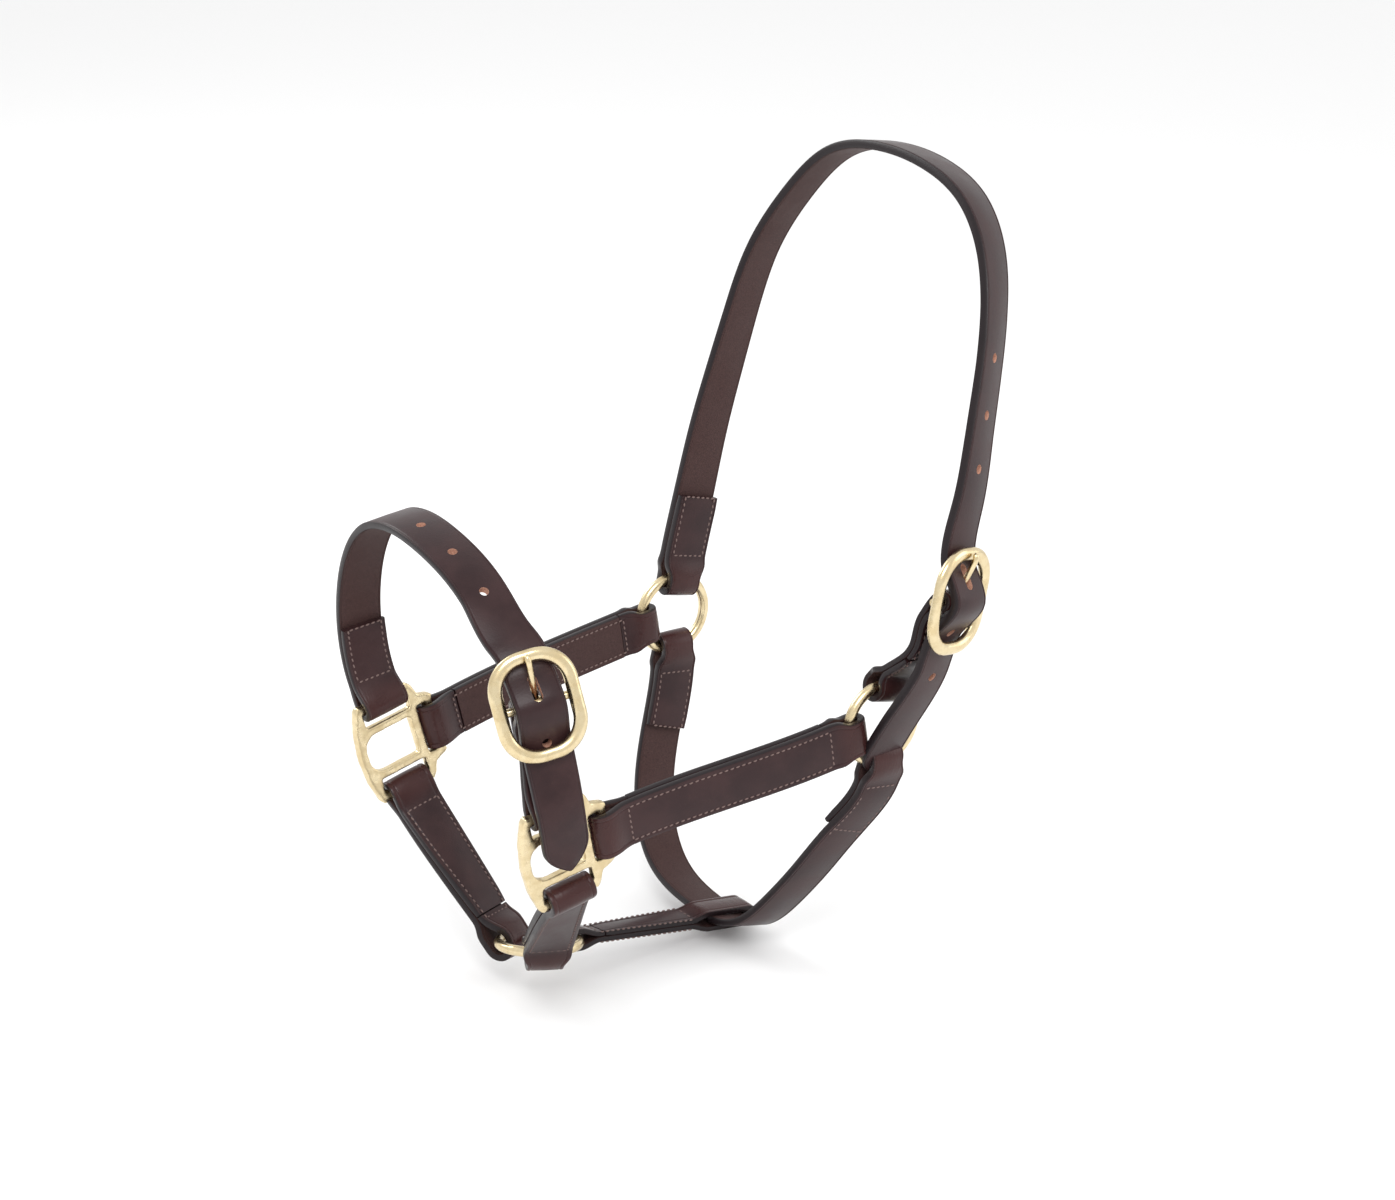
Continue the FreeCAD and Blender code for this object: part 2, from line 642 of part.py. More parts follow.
def length(given):
    """A Length from an alias of the sheet, a plain number or a Length."""
    if isinstance(given, Length):
        return given
    if isinstance(given, str):
        return Length(size(given), f"sizes.{given}")
    return Length(float(given), f"({float(given)})")


def bind(thing, **lengths):
    """Ties properties to the sheet; base_x, base_y and base_z move the thing."""
    for name, given in lengths.items():
        path = f"Placement.Base.{name[-1]}" if name.startswith("base_") else name
        thing.setExpression(path, length(given).text)


def new_sketch(body, name, corners):
    """A closed outline on the body's XY plane, with every corner tied to the sheet."""
    sketch = body.newObject("Sketcher::SketchObject", name)
    plane = next(one for one in body.Origin.OriginFeatures if one.Role == "XY_Plane")
    sketch.AttachmentSupport = [(plane, "")]
    sketch.MapMode = "FlatFace"
    places = [Vector(x.value, y.value, 0) for x, y in corners]
    for number, place in enumerate(places):
        sketch.addGeometry(Part.LineSegment(place, places[(number + 1) % len(places)]), False)
    for number in range(len(places)):
        after = (number + 1) % len(places)
        sketch.addConstraint(Sketcher.Constraint("Coincident", number, 2, after, 1))
    for number, (x, y) in enumerate(corners):
        for kind, given in (("DistanceX", x), ("DistanceY", y)):
            index = sketch.addConstraint(
                Sketcher.Constraint(kind, -1, 1, number, 1, given.value))
            sketch.setExpression(f"Constraints[{index}]", given.text)
    return sketch


def rod(body, name, radius, long, x, y, along_x):
    """A round bar in the plane of the body, centred at x, y."""
    bar = body.newObject("PartDesign::AdditiveCylinder", name)
    bind(bar, Radius=radius, Height=long)
    if along_x:
        bar.Placement.Rotation = Rotation(Vector(0, 1, 0), 90)
        bind(bar, base_x=x - length(long) * 0.5, base_y=y)
    else:
        bar.Placement.Rotation = Rotation(Vector(1, 0, 0), -90)
        bind(bar, base_x=x, base_y=y - length(long) * 0.5)
    return bar


def make_square(label, frame):
    """The cast square: a window with a bowed front rail, and a bar on each of three sides."""
    half = (length("strap_width") + "slot_play") * 0.5
    top = length("square_reach") + "square_bar" + 0.5
    back = length("cheek_bar_reach") + "square_bar" + 0.5
    front = -length("rail_bulge")
    slot_front, slot_back = length("slot_shift") - half, length("slot_shift") + half
    ear = length("ear")
    upper = [
        (front + 1.3, top * 0.5),
        (front + 4.5, top - 2.5),
        (slot_front - 2.0, top),
        (slot_front, top - 1.0),
        (slot_front, length("web_edge")),
        (slot_back, length("web_edge")),
        (slot_back, top - 1.0),
        (slot_back + 2.0, top),
        (slot_back + ear, top - 2.5),
        (slot_back + ear + 2.0, half + ear + 2.0),
        (back - 2.0, half + ear),
        (back, half + 2.5),
        (back - 1.0, half),
        (length("cheek_web_edge"), half),
    ]
    lower = [(x, -y) for x, y in reversed(upper)]
    body = doc.addObject("PartDesign::Body", label)
    body.Label = label
    plate = body.newObject("PartDesign::Pad", f"{label}_plate")
    plate.Profile = new_sketch(body, f"{label}_outline", [(front, length(0))] + upper + lower)
    plate.Midplane = True
    bind(plate, Length="square_thick")
    doc.recompute()
    left, right = -length("window_long") * 0.5, length("window_long") * 0.5
    floor, roof = -length("window_high") * 0.5, length("window_high") * 0.5
    window = body.newObject("PartDesign::Pocket", f"{label}_window")
    corners = [(left, floor), (right, floor), (right, roof), (left, roof)]
    window.Profile = new_sketch(body, f"{label}_opening", corners)
    window.Midplane = True
    window.Type = "ThroughAll"
    doc.recompute()
    rounded = body.newObject("PartDesign::Fillet", f"{label}_window_corners")
    edges = [f"Edge{number}" for number, edge in enumerate(window.Shape.Edges, start=1)
             if abs(edge.CenterOfMass.x - left.value) < 0.01
             and abs(abs(edge.CenterOfMass.y) - roof.value) < 0.01]
    rounded.Base = (window, edges)
    bind(rounded, Radius="window_round")
    doc.recompute()
    overlap = half * 2 + ear
    rod(body, f"{label}_nose_bar", "square_bar", overlap, length("slot_shift"),
        length("square_reach"), True)
    rod(body, f"{label}_chin_bar", "square_bar", overlap, length("slot_shift"),
        -length("square_reach"), True)
    rod(body, f"{label}_cheek_bar", "square_bar", overlap, length("cheek_bar_reach"),
        length(0), False)
    body.Placement = frame.placement()
    return body


def make_ring(label, frame):
    ring = doc.addObject("Part::Torus", label)
    ring.Label = label
    bind(ring, Radius1="ring_radius", Radius2="ring_wire")
    ring.Placement = frame.placement()
    return ring


def make_buckle_frame(label, frame):
    """An oval of round wire with a bar across its middle."""
    wire, corner = length("buckle_wire"), length("buckle_corner")
    x, y = length("buckle_wide") * 0.5, length("buckle_long") * 0.5
    pieces = []

    def straight(radius, long, px, py, pz, along_x):
        bar = doc.addObject("Part::Cylinder", f"{label}_side")
        bind(bar, Radius=radius, Height=long)
        axis, angle = ((0, 1, 0), 90) if along_x else ((1, 0, 0), -90)
        bar.Placement.Rotation = Rotation(Vector(*axis), angle)
        shift_x, shift_y = (long * 0.5, length(0)) if along_x else (length(0), long * 0.5)
        bind(bar, base_x=px - shift_x, base_y=py - shift_y, base_z=pz)
        pieces.append(bar)

    for way in (1, -1):
        straight(wire, (y - corner) * 2, x * way, length(0), "buckle_set", False)
        straight(wire, (x - corner) * 2, length(0), y * way, "buckle_set", True)
    straight(length("buckle_bar"), x * 2, length(0), length(0), 0, True)
    for quarter, (way_x, way_y) in enumerate(((1, 1), (-1, 1), (-1, -1), (1, -1))):
        bend = doc.addObject("Part::Torus", f"{label}_corner")
        bind(bend, Radius1=corner, Radius2=wire)
        bend.Angle3 = 90
        bend.Placement.Rotation = Rotation(Vector(0, 0, 1), 90 * quarter)
        bind(bend, base_x=(x - corner) * way_x, base_y=(y - corner) * way_y, base_z="buckle_set")
        pieces.append(bend)
    frame_wire = doc.addObject("Part::MultiFuse", label)
    frame_wire.Label = label
    frame_wire.Shapes = pieces
    frame_wire.Placement = frame.placement()
    return frame_wire


def make_tongue(label, frame):
    """An eye that turns on the buckle's bar, and a pin that rests on the frame's upper end."""
    bore = length("buckle_bar") + "pivot_play"
    outer = bore + "tongue_wall"
    shell = doc.addObject("Part::Cylinder", f"{label}_eye")
    hollow = doc.addObject("Part::Cylinder", f"{label}_bore")
    bind(shell, Radius=outer, Height="tongue_eye")
    bind(hollow, Radius=bore, Height=length("tongue_eye") * 2)
    for cylinder, long in ((shell, length("tongue_eye")), (hollow, length("tongue_eye") * 2)):
        cylinder.Placement.Rotation = Rotation(Vector(0, 1, 0), 90)
        bind(cylinder, base_x=-long * 0.5)
    tip = Vector(0, 1, TONGUE_SLOPE) * (HALF_BUCKLE + size("buckle_wire") * 0.7)
    start = tip * ((outer.value - 0.8) / tip.Length)
    pin = doc.addObject("Part::Cylinder", f"{label}_pin")
    bind(pin, Radius="tongue_wire")
    pin.Height = (tip - start).Length
    pin.Placement = Placement(start, Rotation(Vector(0, 0, 1), tip - start))
    end = doc.addObject("Part::Sphere", f"{label}_tip")
    bind(end, Radius="tongue_wire")
    end.Placement.Base = tip
    solid = doc.addObject("Part::MultiFuse", f"{label}_solid")
    solid.Shapes = [shell, pin, end]
    tongue = doc.addObject("Part::Cut", label)
    tongue.Label = label
    tongue.Base, tongue.Tool = solid, hollow
    tongue.Placement = frame.placement()
    return tongue


# ------------------------------------------------------------------ assembly

def punched(stations, shape, thick, buckle, above, below):
    """Punches the tongue's hole and the rows of spare holes above and below it."""
    bar_distance = min(stations, key=lambda one: (one.point - buckle.origin).Length).distance
    engaged = bar_distance - tongue_place(thick)
    places = [engaged - size("hole_pitch") * number for number in above]
    places += [engaged + size("hole_pitch") * number for number in below]
    for frame in hole_places(stations, places, thick):
        shape = punch(shape, frame, size("hole_width"), size("hole_width"))
    slot = hole_places(stations, [engaged], thick)[0]
    return punch(shape, slot, size("tongue_slot"), size("hole_width"))


pieces = []
for name in SIDES:
    pieces.append(make_square(f"{name}_square", square[name]))
    ring_frame = Frame(ring_centre[name], Vector(1, 0, 0), UP * -1)
    pieces.append(make_ring(f"{name}_ring", ring_frame))
pieces.append(make_ring("chin_ring", chin_ring))
for name, buckle in (("nose", nose_buckle), ("crown", crown_buckle)):
    pieces.append(make_buckle_frame(f"{name}_buckle_frame", buckle))
    pieces.append(make_tongue(f"{name}_buckle_tongue", buckle))

crown_stations, crown_shape = make_crown_strap()
crown_shape = punched(crown_stations, crown_shape, CROWN_THICK, crown_buckle, (2, 3, 4), (1,))
pieces.append(add_piece("crown_strap", crown_shape))
nose_stations, nose_shape = make_nose_strap()
nose_shape = punched(nose_stations, nose_shape, THICK, nose_buckle, (2, 3, 4), (1,))
pieces.append(add_piece("nose_strap", nose_shape))
near_ring_point = ring_centre["near"] + CROWN_UP * size("ring_radius")
pieces.append(add_piece("nose_chape", make_chape(
    nose_buckle, nose_bar["near"], square["near"].u,
    square_off(NOSE_UP + OFF_SIDE * 0.05, square["near"].u), bar_eye(size("square_bar")), WIDE)))
pieces.append(add_piece("crown_chape", make_chape(
    crown_buckle, near_ring_point, CROWN_BACK, CROWN_UP + OFF_SIDE * -0.8,
    ring_eye(WAIST, 39.0), WIDE)))
for name in SIDES:
    cheek, backing = make_cheek(name)
    pieces.append(add_piece(f"{name}_cheek", cheek))
    pieces.append(add_piece(f"{name}_cheek_backing", backing))
    pieces.append(add_piece(f"{name}_chin_strap", make_chin_strap(name)))
throat_stations, throat_shape = make_throat_strap()
pieces.append(add_piece("throat_strap", throat_shape))
pieces.append(add_piece("jaw_strap", make_connector()))

doc.recompute()
for thing in doc.Objects:
    if "Invalid" in thing.State or "Error" in thing.State:
        raise RuntimeError(f"{thing.Label} failed: {thing.State}")
for piece in pieces:
    if piece.Shape.isNull() or not piece.Shape.isValid():
        raise RuntimeError(f"{piece.Label} has no valid shape")

os.makedirs("parts", exist_ok=True)
for piece in pieces:
    piece.Shape.exportStep(f"parts/{piece.Label}.step")
    print(piece.Label, len(piece.Shape.Solids), round(piece.Shape.Volume))
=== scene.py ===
import json
import math
import random

import bmesh
import bpy
import numpy as np
from mathutils import Matrix, Vector


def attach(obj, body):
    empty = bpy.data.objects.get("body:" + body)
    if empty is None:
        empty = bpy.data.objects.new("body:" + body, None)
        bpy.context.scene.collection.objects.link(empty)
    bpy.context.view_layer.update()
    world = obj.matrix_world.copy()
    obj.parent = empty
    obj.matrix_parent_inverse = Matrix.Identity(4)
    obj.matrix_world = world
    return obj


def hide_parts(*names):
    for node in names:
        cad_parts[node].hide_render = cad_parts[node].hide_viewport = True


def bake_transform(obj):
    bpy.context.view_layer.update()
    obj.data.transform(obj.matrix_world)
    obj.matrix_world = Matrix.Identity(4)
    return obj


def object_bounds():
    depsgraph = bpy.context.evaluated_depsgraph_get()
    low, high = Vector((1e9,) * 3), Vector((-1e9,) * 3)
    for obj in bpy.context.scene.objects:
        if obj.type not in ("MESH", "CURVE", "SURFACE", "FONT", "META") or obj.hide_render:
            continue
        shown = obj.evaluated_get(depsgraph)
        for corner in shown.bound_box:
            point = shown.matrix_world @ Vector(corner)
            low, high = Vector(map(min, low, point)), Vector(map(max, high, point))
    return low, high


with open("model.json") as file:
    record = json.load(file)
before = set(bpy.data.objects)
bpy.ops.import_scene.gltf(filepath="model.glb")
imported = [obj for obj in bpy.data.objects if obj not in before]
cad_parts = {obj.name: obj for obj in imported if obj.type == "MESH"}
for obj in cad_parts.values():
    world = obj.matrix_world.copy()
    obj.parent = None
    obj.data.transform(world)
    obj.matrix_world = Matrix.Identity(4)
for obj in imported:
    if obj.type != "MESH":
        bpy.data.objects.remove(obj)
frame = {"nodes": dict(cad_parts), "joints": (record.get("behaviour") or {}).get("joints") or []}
cad_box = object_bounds()

# Lengths are in millimetres, and each mesh is brought to metres when it is finished.
MM = 0.001
JOINTS = {joint["name"]: joint for joint in frame["joints"]}
UP, OFF_SIDE, BACK = Vector((0, 0, 1)), Vector((0, 1, 0)), Vector((1, 0, 0))

# ------------------------------------------------------------------ sizes

STRAP_WIDE, STRAP_THICK, CROWN_THICK, CHAPE_THICK = 24.0, 3.8, 4.4, 3.0
JAW_WIDE, JAW_THICK = 16.0, 2.8
WAIST = 18.3                        # width of a strap where it is gathered round a ring
PLY_GAP = 0.06                      # between two stitched layers
SPLIT = 0.05                        # half the gap between two ends that meet
BAR_PLAY = 0.35
RING_RADIUS, RING_WIRE = 19.85, 2.65
SQUARE_BAR, SQUARE_REACH, CHEEK_BAR_REACH, SLOT_SHIFT = 2.6, 24.3, 26.4, 2.7
BUCKLE_LONG, BUCKLE_WIDE, BUCKLE_CORNER, BUCKLE_SET = 46.5, 36.0, 15.0, 2.5
BUCKLE_WIRE, BUCKLE_BAR, TONGUE_WIRE = 2.7, 2.0, 1.6
SEAM_INSET, STITCH_PITCH, STITCH_LONG, STITCH_WIDE = 2.7, 3.1, 2.1, 0.5
HOLE_RADIUS, HOLE_PITCH, TONGUE_SLOT = 2.3, 27.0, 13.0
CREASE_INSET = 1.5                  # of the line pressed along a single strap's edges
POINT_LONG = 17.0                   # of a billet's tip
SEAM_START = 13.0                   # from a bar or ring to the first stitch
CHEEK_RETURN, RING_RETURN = 15.0, 15.0
CROWN_RETURN, NOSE_RETURN, THROAT_RETURN = 46.0, 42.0, 44.0
WIRE_PLAY, CHAPE_PLAY = 0.4, 0.5    # over and under a billet, and between a bar and its chape
RING_HALF_SPAN = 91.0
TONGUE_SLOPE = (BUCKLE_SET + BUCKLE_WIRE + TONGUE_WIRE + 0.8) / (BUCKLE_LONG / 2)

random.seed(7)


def lean(angle):
    """Sine and cosine of an angle in degrees."""
    return math.sin(math.radians(angle)), math.cos(math.radians(angle))


class Place:
    """A point with three axes: u and v span a face, w is its outward normal."""

    def __init__(self, origin, u, v):
        self.origin = Vector(origin)
        self.u = Vector(u).normalized()
        self.w = self.u.cross(Vector(v)).normalized()
        self.v = self.w.cross(self.u)

    def at(self, u=0.0, v=0.0, w=0.0):
        return self.origin + self.u * u + self.v * v + self.w * w

    def matrix(self):
        rows = [[self.u[i], self.v[i], self.w[i], self.origin[i]] for i in range(3)]
        return Matrix(rows + [[0, 0, 0, 1]])


# ------------------------------------------------------------------ layout, from the frame

def joint_point(name):
    return Vector(JOINTS[name]["pos_m"]) / MM


def joint_axis(name):
    return Vector(JOINTS[name]["axis"]).normalized()


SIDES = {"off": 1.0, "near": -1.0}
RING_AXIS = joint_point("crown_swing")
RING = {side: joint_point(f"{side}_ring_spin") for side in SIDES}
CHIN_WAY = joint_axis("chin_ring_spin")
CHIN_OFF = OFF_SIDE - CHIN_WAY * CHIN_WAY.y
CHIN = Place(joint_point("chin_ring_spin"), CHIN_OFF.cross(CHIN_WAY), CHIN_OFF)

crown_sin, crown_cos = lean(12.0)
nose_sin, nose_cos = lean(7.0)
throat_sin, throat_cos = lean(13.5)
CROWN_UP, CROWN_BACK = Vector((crown_sin, 0, crown_cos)), Vector((crown_cos, 0, -crown_sin))
NOSE_UP, NOSE_BACK = Vector((-nose_sin, 0, nose_cos)), Vector((nose_cos, 0, nose_sin))
THROAT_DOWN = Vector((-throat_sin, 0, -throat_cos))
THROAT_BACK = Vector((throat_cos, 0, -throat_sin))
CROWN_RISE, CROWN_BEHIND, THROAT_DROP, NOSE_RISE = 265.0, 13.0, 134.5, 115.0
THROAT_FLOOR = RING_AXIS + THROAT_DOWN * THROAT_DROP


def square_place(side):
    """The middle of a square: u points back along the cheek, v up."""
    centre = RING_AXIS - BACK * 179.0 - UP * 28.5 + OFF_SIDE * (78.0 * side)
    tilt_sin, tilt_cos = lean(12.6)
    toe_sin, toe_cos = lean(3.0)
    cant_sin, cant_cos = lean(4.7)
    back = Vector((tilt_cos, 0, tilt_sin)) * toe_cos + OFF_SIDE * (side * toe_sin)
    upright = Vector((-tilt_sin, 0, tilt_cos)) * cant_cos + OFF_SIDE * (side * cant_sin)
    return Place(centre, back, upright)


SQUARE = {side: square_place(sign) for side, sign in SIDES.items()}
NOSE_BAR = {side: place.at(SLOT_SHIFT, SQUARE_REACH) for side, place in SQUARE.items()}
CHIN_BAR = {side: place.at(SLOT_SHIFT, -SQUARE_REACH) for side, place in SQUARE.items()}
CHEEK_BAR = {side: place.at(CHEEK_BAR_REACH) for side, place in SQUARE.items()}


def buckle_place(joint, upwards):
    """A buckle: u along its bar, v up the strap, w out of its face."""
    bar = joint_axis(joint)
    return Place(joint_point(joint), bar, upwards - bar * upwards.dot(bar))


CROWN_BUCKLE = buckle_place("crown_tongue_lift", CROWN_UP)
nose_lean_sin, nose_lean_cos = lean(15.0)
NOSE_BUCKLE = buckle_place("nose_tongue_lift", NOSE_UP * nose_lean_cos + OFF_SIDE * nose_lean_sin)


# ------------------------------------------------------------------ routes and sections

class Station:
    """One place on a strap: a point, the way on, the strap's width and its front face."""

    def __init__(self, point, along, across, distance=0.0, wide=STRAP_WIDE, thick=1.0, bend=0.0):
        self.point, self.along, self.distance = point, along.normalized(), distance
        self.across = (across - self.along * across.dot(self.along)).normalized()
        self.front = self.across.cross(self.along)
        self.wide, self.thick, self.bend = wide, thick, bend

    def moved(self, out=0.0, on=0.0, **changes):
        point = self.point + self.front * out + self.along * on
        made = Station(point, self.along, self.across, self.distance, self.wide, self.thick)
        for name, value in changes.items():
            setattr(made, name, value)
        return made


def smooth_curve(points):
    """A natural cubic spline through points, as a function of distance, and its length."""
    knots = np.array([tuple(point) for point in points])
    chords = np.linalg.norm(np.diff(knots, axis=0), axis=1)
    count = len(knots)
    system = np.zeros((count, count))
    sides = np.zeros((count, 3))
    system[0, 0] = system[-1, -1] = 1.0
    for row in range(1, count - 1):
        before, after = chords[row - 1], chords[row]
        system[row, row - 1:row + 2] = before, 2 * (before + after), after
        sides[row] = 6 * ((knots[row + 1] - knots[row]) / after
                          - (knots[row] - knots[row - 1]) / before)
    bends = np.linalg.solve(system, sides)
    marks = np.concatenate(([0.0], np.cumsum(chords)))
    fine = np.linspace(0.0, marks[-1], 40 * count)
    span = np.clip(np.searchsorted(marks, fine, side="right") - 1, 0, count - 2)
    width = chords[span][:, None]
    left, right = (marks[span + 1] - fine)[:, None], (fine - marks[span])[:, None]
    places = ((bends[span] * left ** 3 + bends[span + 1] * right ** 3) / (6 * width)
              + (knots[span] / width - bends[span] * width / 6) * left
              + (knots[span + 1] / width - bends[span + 1] * width / 6) * right)
    steps = np.linalg.norm(np.diff(places, axis=0), axis=1)
    lengths = np.concatenate(([0.0], np.cumsum(steps)))

    def place(distance):
        return Vector([float(np.interp(distance, lengths, places[:, axis])) for axis in range(3)])

    knot_lengths = np.interp(marks, fine, lengths)
    return place, float(lengths[-1]), knot_lengths


def route(points, acrosses, start=None, end=None, step=1.6, stops=()):
    """Stations along a smooth curve; acrosses gives the way of the strap's width at each point.

    stops are distances that get a station of their own, counted from the end when negative.
    """
    lead = 8.0
    if start:
        points = points[:1] + [points[0] + start.normalized() * lead] + points[1:]
        acrosses = acrosses[:1] + acrosses
    if end:
        points = points[:-1] + [points[-1] - end.normalized() * lead] + points[-1:]
        acrosses = acrosses + acrosses[-1:]
    place, total, knots = smooth_curve(points)
    widths = np.array([tuple(across) for across in acrosses])
    stations = []
    count = math.ceil(total / step)
    reach = 1.2
    distances = [total * number / count for number in range(count + 1)]
    for stop in stops:
        stop = stop if stop > 0 else total + stop
        distances = [one for one in distances if abs(one - stop) > 0.4] + [stop]
    for distance in sorted(distances):
        ahead, behind = min(distance + reach, total), max(distance - reach, 0.0)
        along = (place(ahead) - place(behind)).normalized()
        for given, gap in ((start, distance), (end, total - distance)):
            if given and gap < lead:
                along = given.normalized() * (1 - gap / lead) + along * (gap / lead)
        across = Vector([float(np.interp(distance, knots, widths[:, axis])) for axis in range(3)])
        stations.append(Station(place(distance), along, across, distance))
    return stations


class Eye:
    """The end of a strap that wraps a bar or a ring: its free half height and its depth."""

    def __init__(self, half_gap, depth=0.0, waist=None):
        self.half_gap, self.depth, self.waist = half_gap, depth, waist


def bar_eye(radius):
    return Eye(radius + BAR_PLAY)


def ring_eye(wide=WAIST, slope=0.0):
    """An eye round a ring; slope is the angle between the strap and the ring's plane."""
    inner = RING_RADIUS - RING_WIRE
    sagitta = inner - math.sqrt(inner ** 2 - (wide / 2) ** 2)
    slope_sin, slope_cos = lean(slope)
    return Eye(RING_WIRE + BAR_PLAY + sagitta * slope_sin, sagitta * slope_cos, wide)


def fold(stations, wide, thick, eyes, returns, opening=8.0):
    """The sections of a strap that folds back round a bar at one end or at both."""
    ply = (thick + PLY_GAP) / 2
    total = stations[-1].distance
    arc_steps = 14

    def laid(one, side):
        out, width, bend = ply, wide, 0.0
        for eye, reach in zip(eyes, (one.distance, total - one.distance)):
            if eye:
                turn = eye.half_gap + thick / 2
                swell = 0.5 + 0.5 * math.cos(math.pi * min(reach / (turn + opening), 1.0))
                gather = 0.5 + 0.5 * math.cos(math.pi * min(reach / opening, 1.0))
                out += (turn - ply) * swell
                width += ((eye.waist or wide) - wide) * gather
                bend = max(bend, swell)
        return one.moved(side * out, wide=width, bend=bend)

    def turned(one, eye, way, side):
        turn = eye.half_gap + thick / 2
        width = eye.waist or wide
        angles = [math.pi * step / arc_steps for step in range(arc_steps + 1)]
        first, last = (0, None) if eye.depth else (1, -1)
        return [one.moved(side * turn * math.cos(angle),
                          -way * (eye.depth + turn * math.sin(angle)), wide=width, bend=1.0)
                for angle in angles[first:last]]

    sections = []
    if eyes[0]:
        back = [laid(one, -1) for one in reversed(stations) if one.distance <= returns[0]]
        sections += skived(back) + turned(stations[0], eyes[0], 1, -1)
    sections += [laid(one, 1) for one in stations]
    if eyes[1]:
        back = [laid(one, -1) for one in reversed(stations) if total - one.distance <= returns[1]]
        sections += turned(stations[-1], eyes[1], -1, 1) + skived(back[::-1])[::-1]
    return sections


def skived(sections, reach=4):
    """Thins the loose end of a fold-back."""
    for number, one in enumerate(sections[:reach]):
        one.thick = 0.72 + 0.28 * number / reach
    return sections


def pointed(sections, reach):
    """Narrows the last stretch of a strap to a rounded point."""
    left, place = 0.0, len(sections) - 1
    while left < reach and place > 0:
        share = 1 - left / reach
        sections[place].wide *= 0.07 + 0.93 * (1 - share ** 2.4)
        left += (sections[place].point - sections[place - 1].point).length
        place -= 1
    return sections


# ------------------------------------------------------------------ meshes

def finished(bm, name, body, material, angle=40.0):
    """Turns a bmesh in millimetres into a piece that rides a body."""
    bmesh.ops.scale(bm, vec=(MM, MM, MM), verts=bm.verts)
    mesh = bpy.data.meshes.new(name)
    bm.to_mesh(mesh)
    bm.free()
    mesh.shade_smooth()
    mesh.set_sharp_from_angle(angle=math.radians(angle))
    piece = bpy.data.objects.new(name, mesh)
    bpy.context.scene.collection.objects.link(piece)
    mesh.materials.append(material)
    if body:
        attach(piece, body)
    return piece


def strap_outline(wide, thick, groove):
    """Half of a strap's section from the middle of its front to the middle of its back."""
    half, deep = wide / 2, thick / 2
    edge = min(0.9, thick * 0.28)
    crown = 0.12
    points = [(0.0, deep + crown)]
    if groove:
        points += [(half - groove - 0.75, deep), (half - groove - 0.3, deep - 0.12),
                   (half - groove, deep - 0.3), (half - groove + 0.3, deep - 0.12),
                   (half - groove + 0.75, deep)]
    points += [(half - edge, deep - 0.03), (half - edge * 0.3, deep - edge * 0.3),
               (half, deep - edge), (half, 0.0)]
    back = [(x, -y) for x, y in reversed(points[:-1])]
    return points + back


def sweep(sections, outline, base_wide, closed=False):
    """Extrudes an outline from section to section, and keeps where each point lies on the strap."""
    bm = bmesh.new()
    across_layer = bm.verts.layers.float.new("across")
    along_layer = bm.verts.layers.float.new("along")
    bend_layer = bm.verts.layers.float.new("bend")
    height_layer = bm.verts.layers.float.new("height")

    def frame_of(number):
        one = sections[number]
        ends = [max(number - 1, 0), min(number + 1, len(sections) - 1)]
        if closed:
            ends = [number - 1, (number + 1) % len(sections)]
        along = (sections[ends[1]].point - sections[ends[0]].point).normalized()
        across = (one.across - along * one.across.dot(along)).normalized()
        scale = one.wide / base_wide
        columns = (across * scale, across.cross(along) * one.thick, along, one.point)
        return Matrix([[column[i] for column in columns] for i in range(3)] + [[0, 0, 0, 1]])

    def mark(verts, one, travelled):
        for vert, (x, y) in zip(verts, outline):
            vert[across_layer], vert[height_layer] = x, y
            vert[along_layer], vert[bend_layer] = travelled, one.bend

    here = frame_of(0)
    loop = [bm.verts.new(here @ Vector((x, y, 0))) for x, y in outline]
    first_loop = loop
    mark(loop, sections[0], 0.0)
    edges = [bm.edges.new((one, loop[(step + 1) % len(loop)])) for step, one in enumerate(loop)]
    first_edges = edges
    travelled = 0.0
    for number, (before, one) in enumerate(zip(sections, sections[1:]), 1):
        made = bmesh.ops.extrude_edge_only(bm, edges=edges)["geom"]
        new_verts = set(item for item in made if isinstance(item, bmesh.types.BMVert))
        links = {}
        for vert in loop:
            for edge in vert.link_edges:
                other = edge.other_vert(vert)
                if other in new_verts:
                    links[vert] = other
        loop = [links[vert] for vert in loop]
        travelled += (one.point - before.point).length
        there = frame_of(number)
        bmesh.ops.transform(bm, matrix=there @ here.inverted(), verts=loop)
        here = there
        mark(loop, one, travelled)
        edges = [bm.edges.get((vert, loop[(step + 1) % len(loop)]))
                 for step, vert in enumerate(loop)]
    if closed:
        bmesh.ops.bridge_loops(bm, edges=first_edges + edges)
    else:
        bmesh.ops.contextual_create(bm, geom=first_loop)
        bmesh.ops.contextual_create(bm, geom=loop)
    bmesh.ops.recalc_face_normals(bm, faces=bm.faces)
    return bm


def strap_bmesh(sections, wide, thick, groove):
    half = strap_outline(wide, thick, groove)
    outline = half + [(-x, y) for x, y in reversed(half[1:-1])]
    return sweep(sections, outline, wide)


def add_part(bm, part):
    """Puts one bmesh into another."""
    mesh = bpy.data.meshes.new("part")
    part.to_mesh(mesh)
    part.free()
    bm.from_mesh(mesh)
    bpy.data.meshes.remove(mesh)


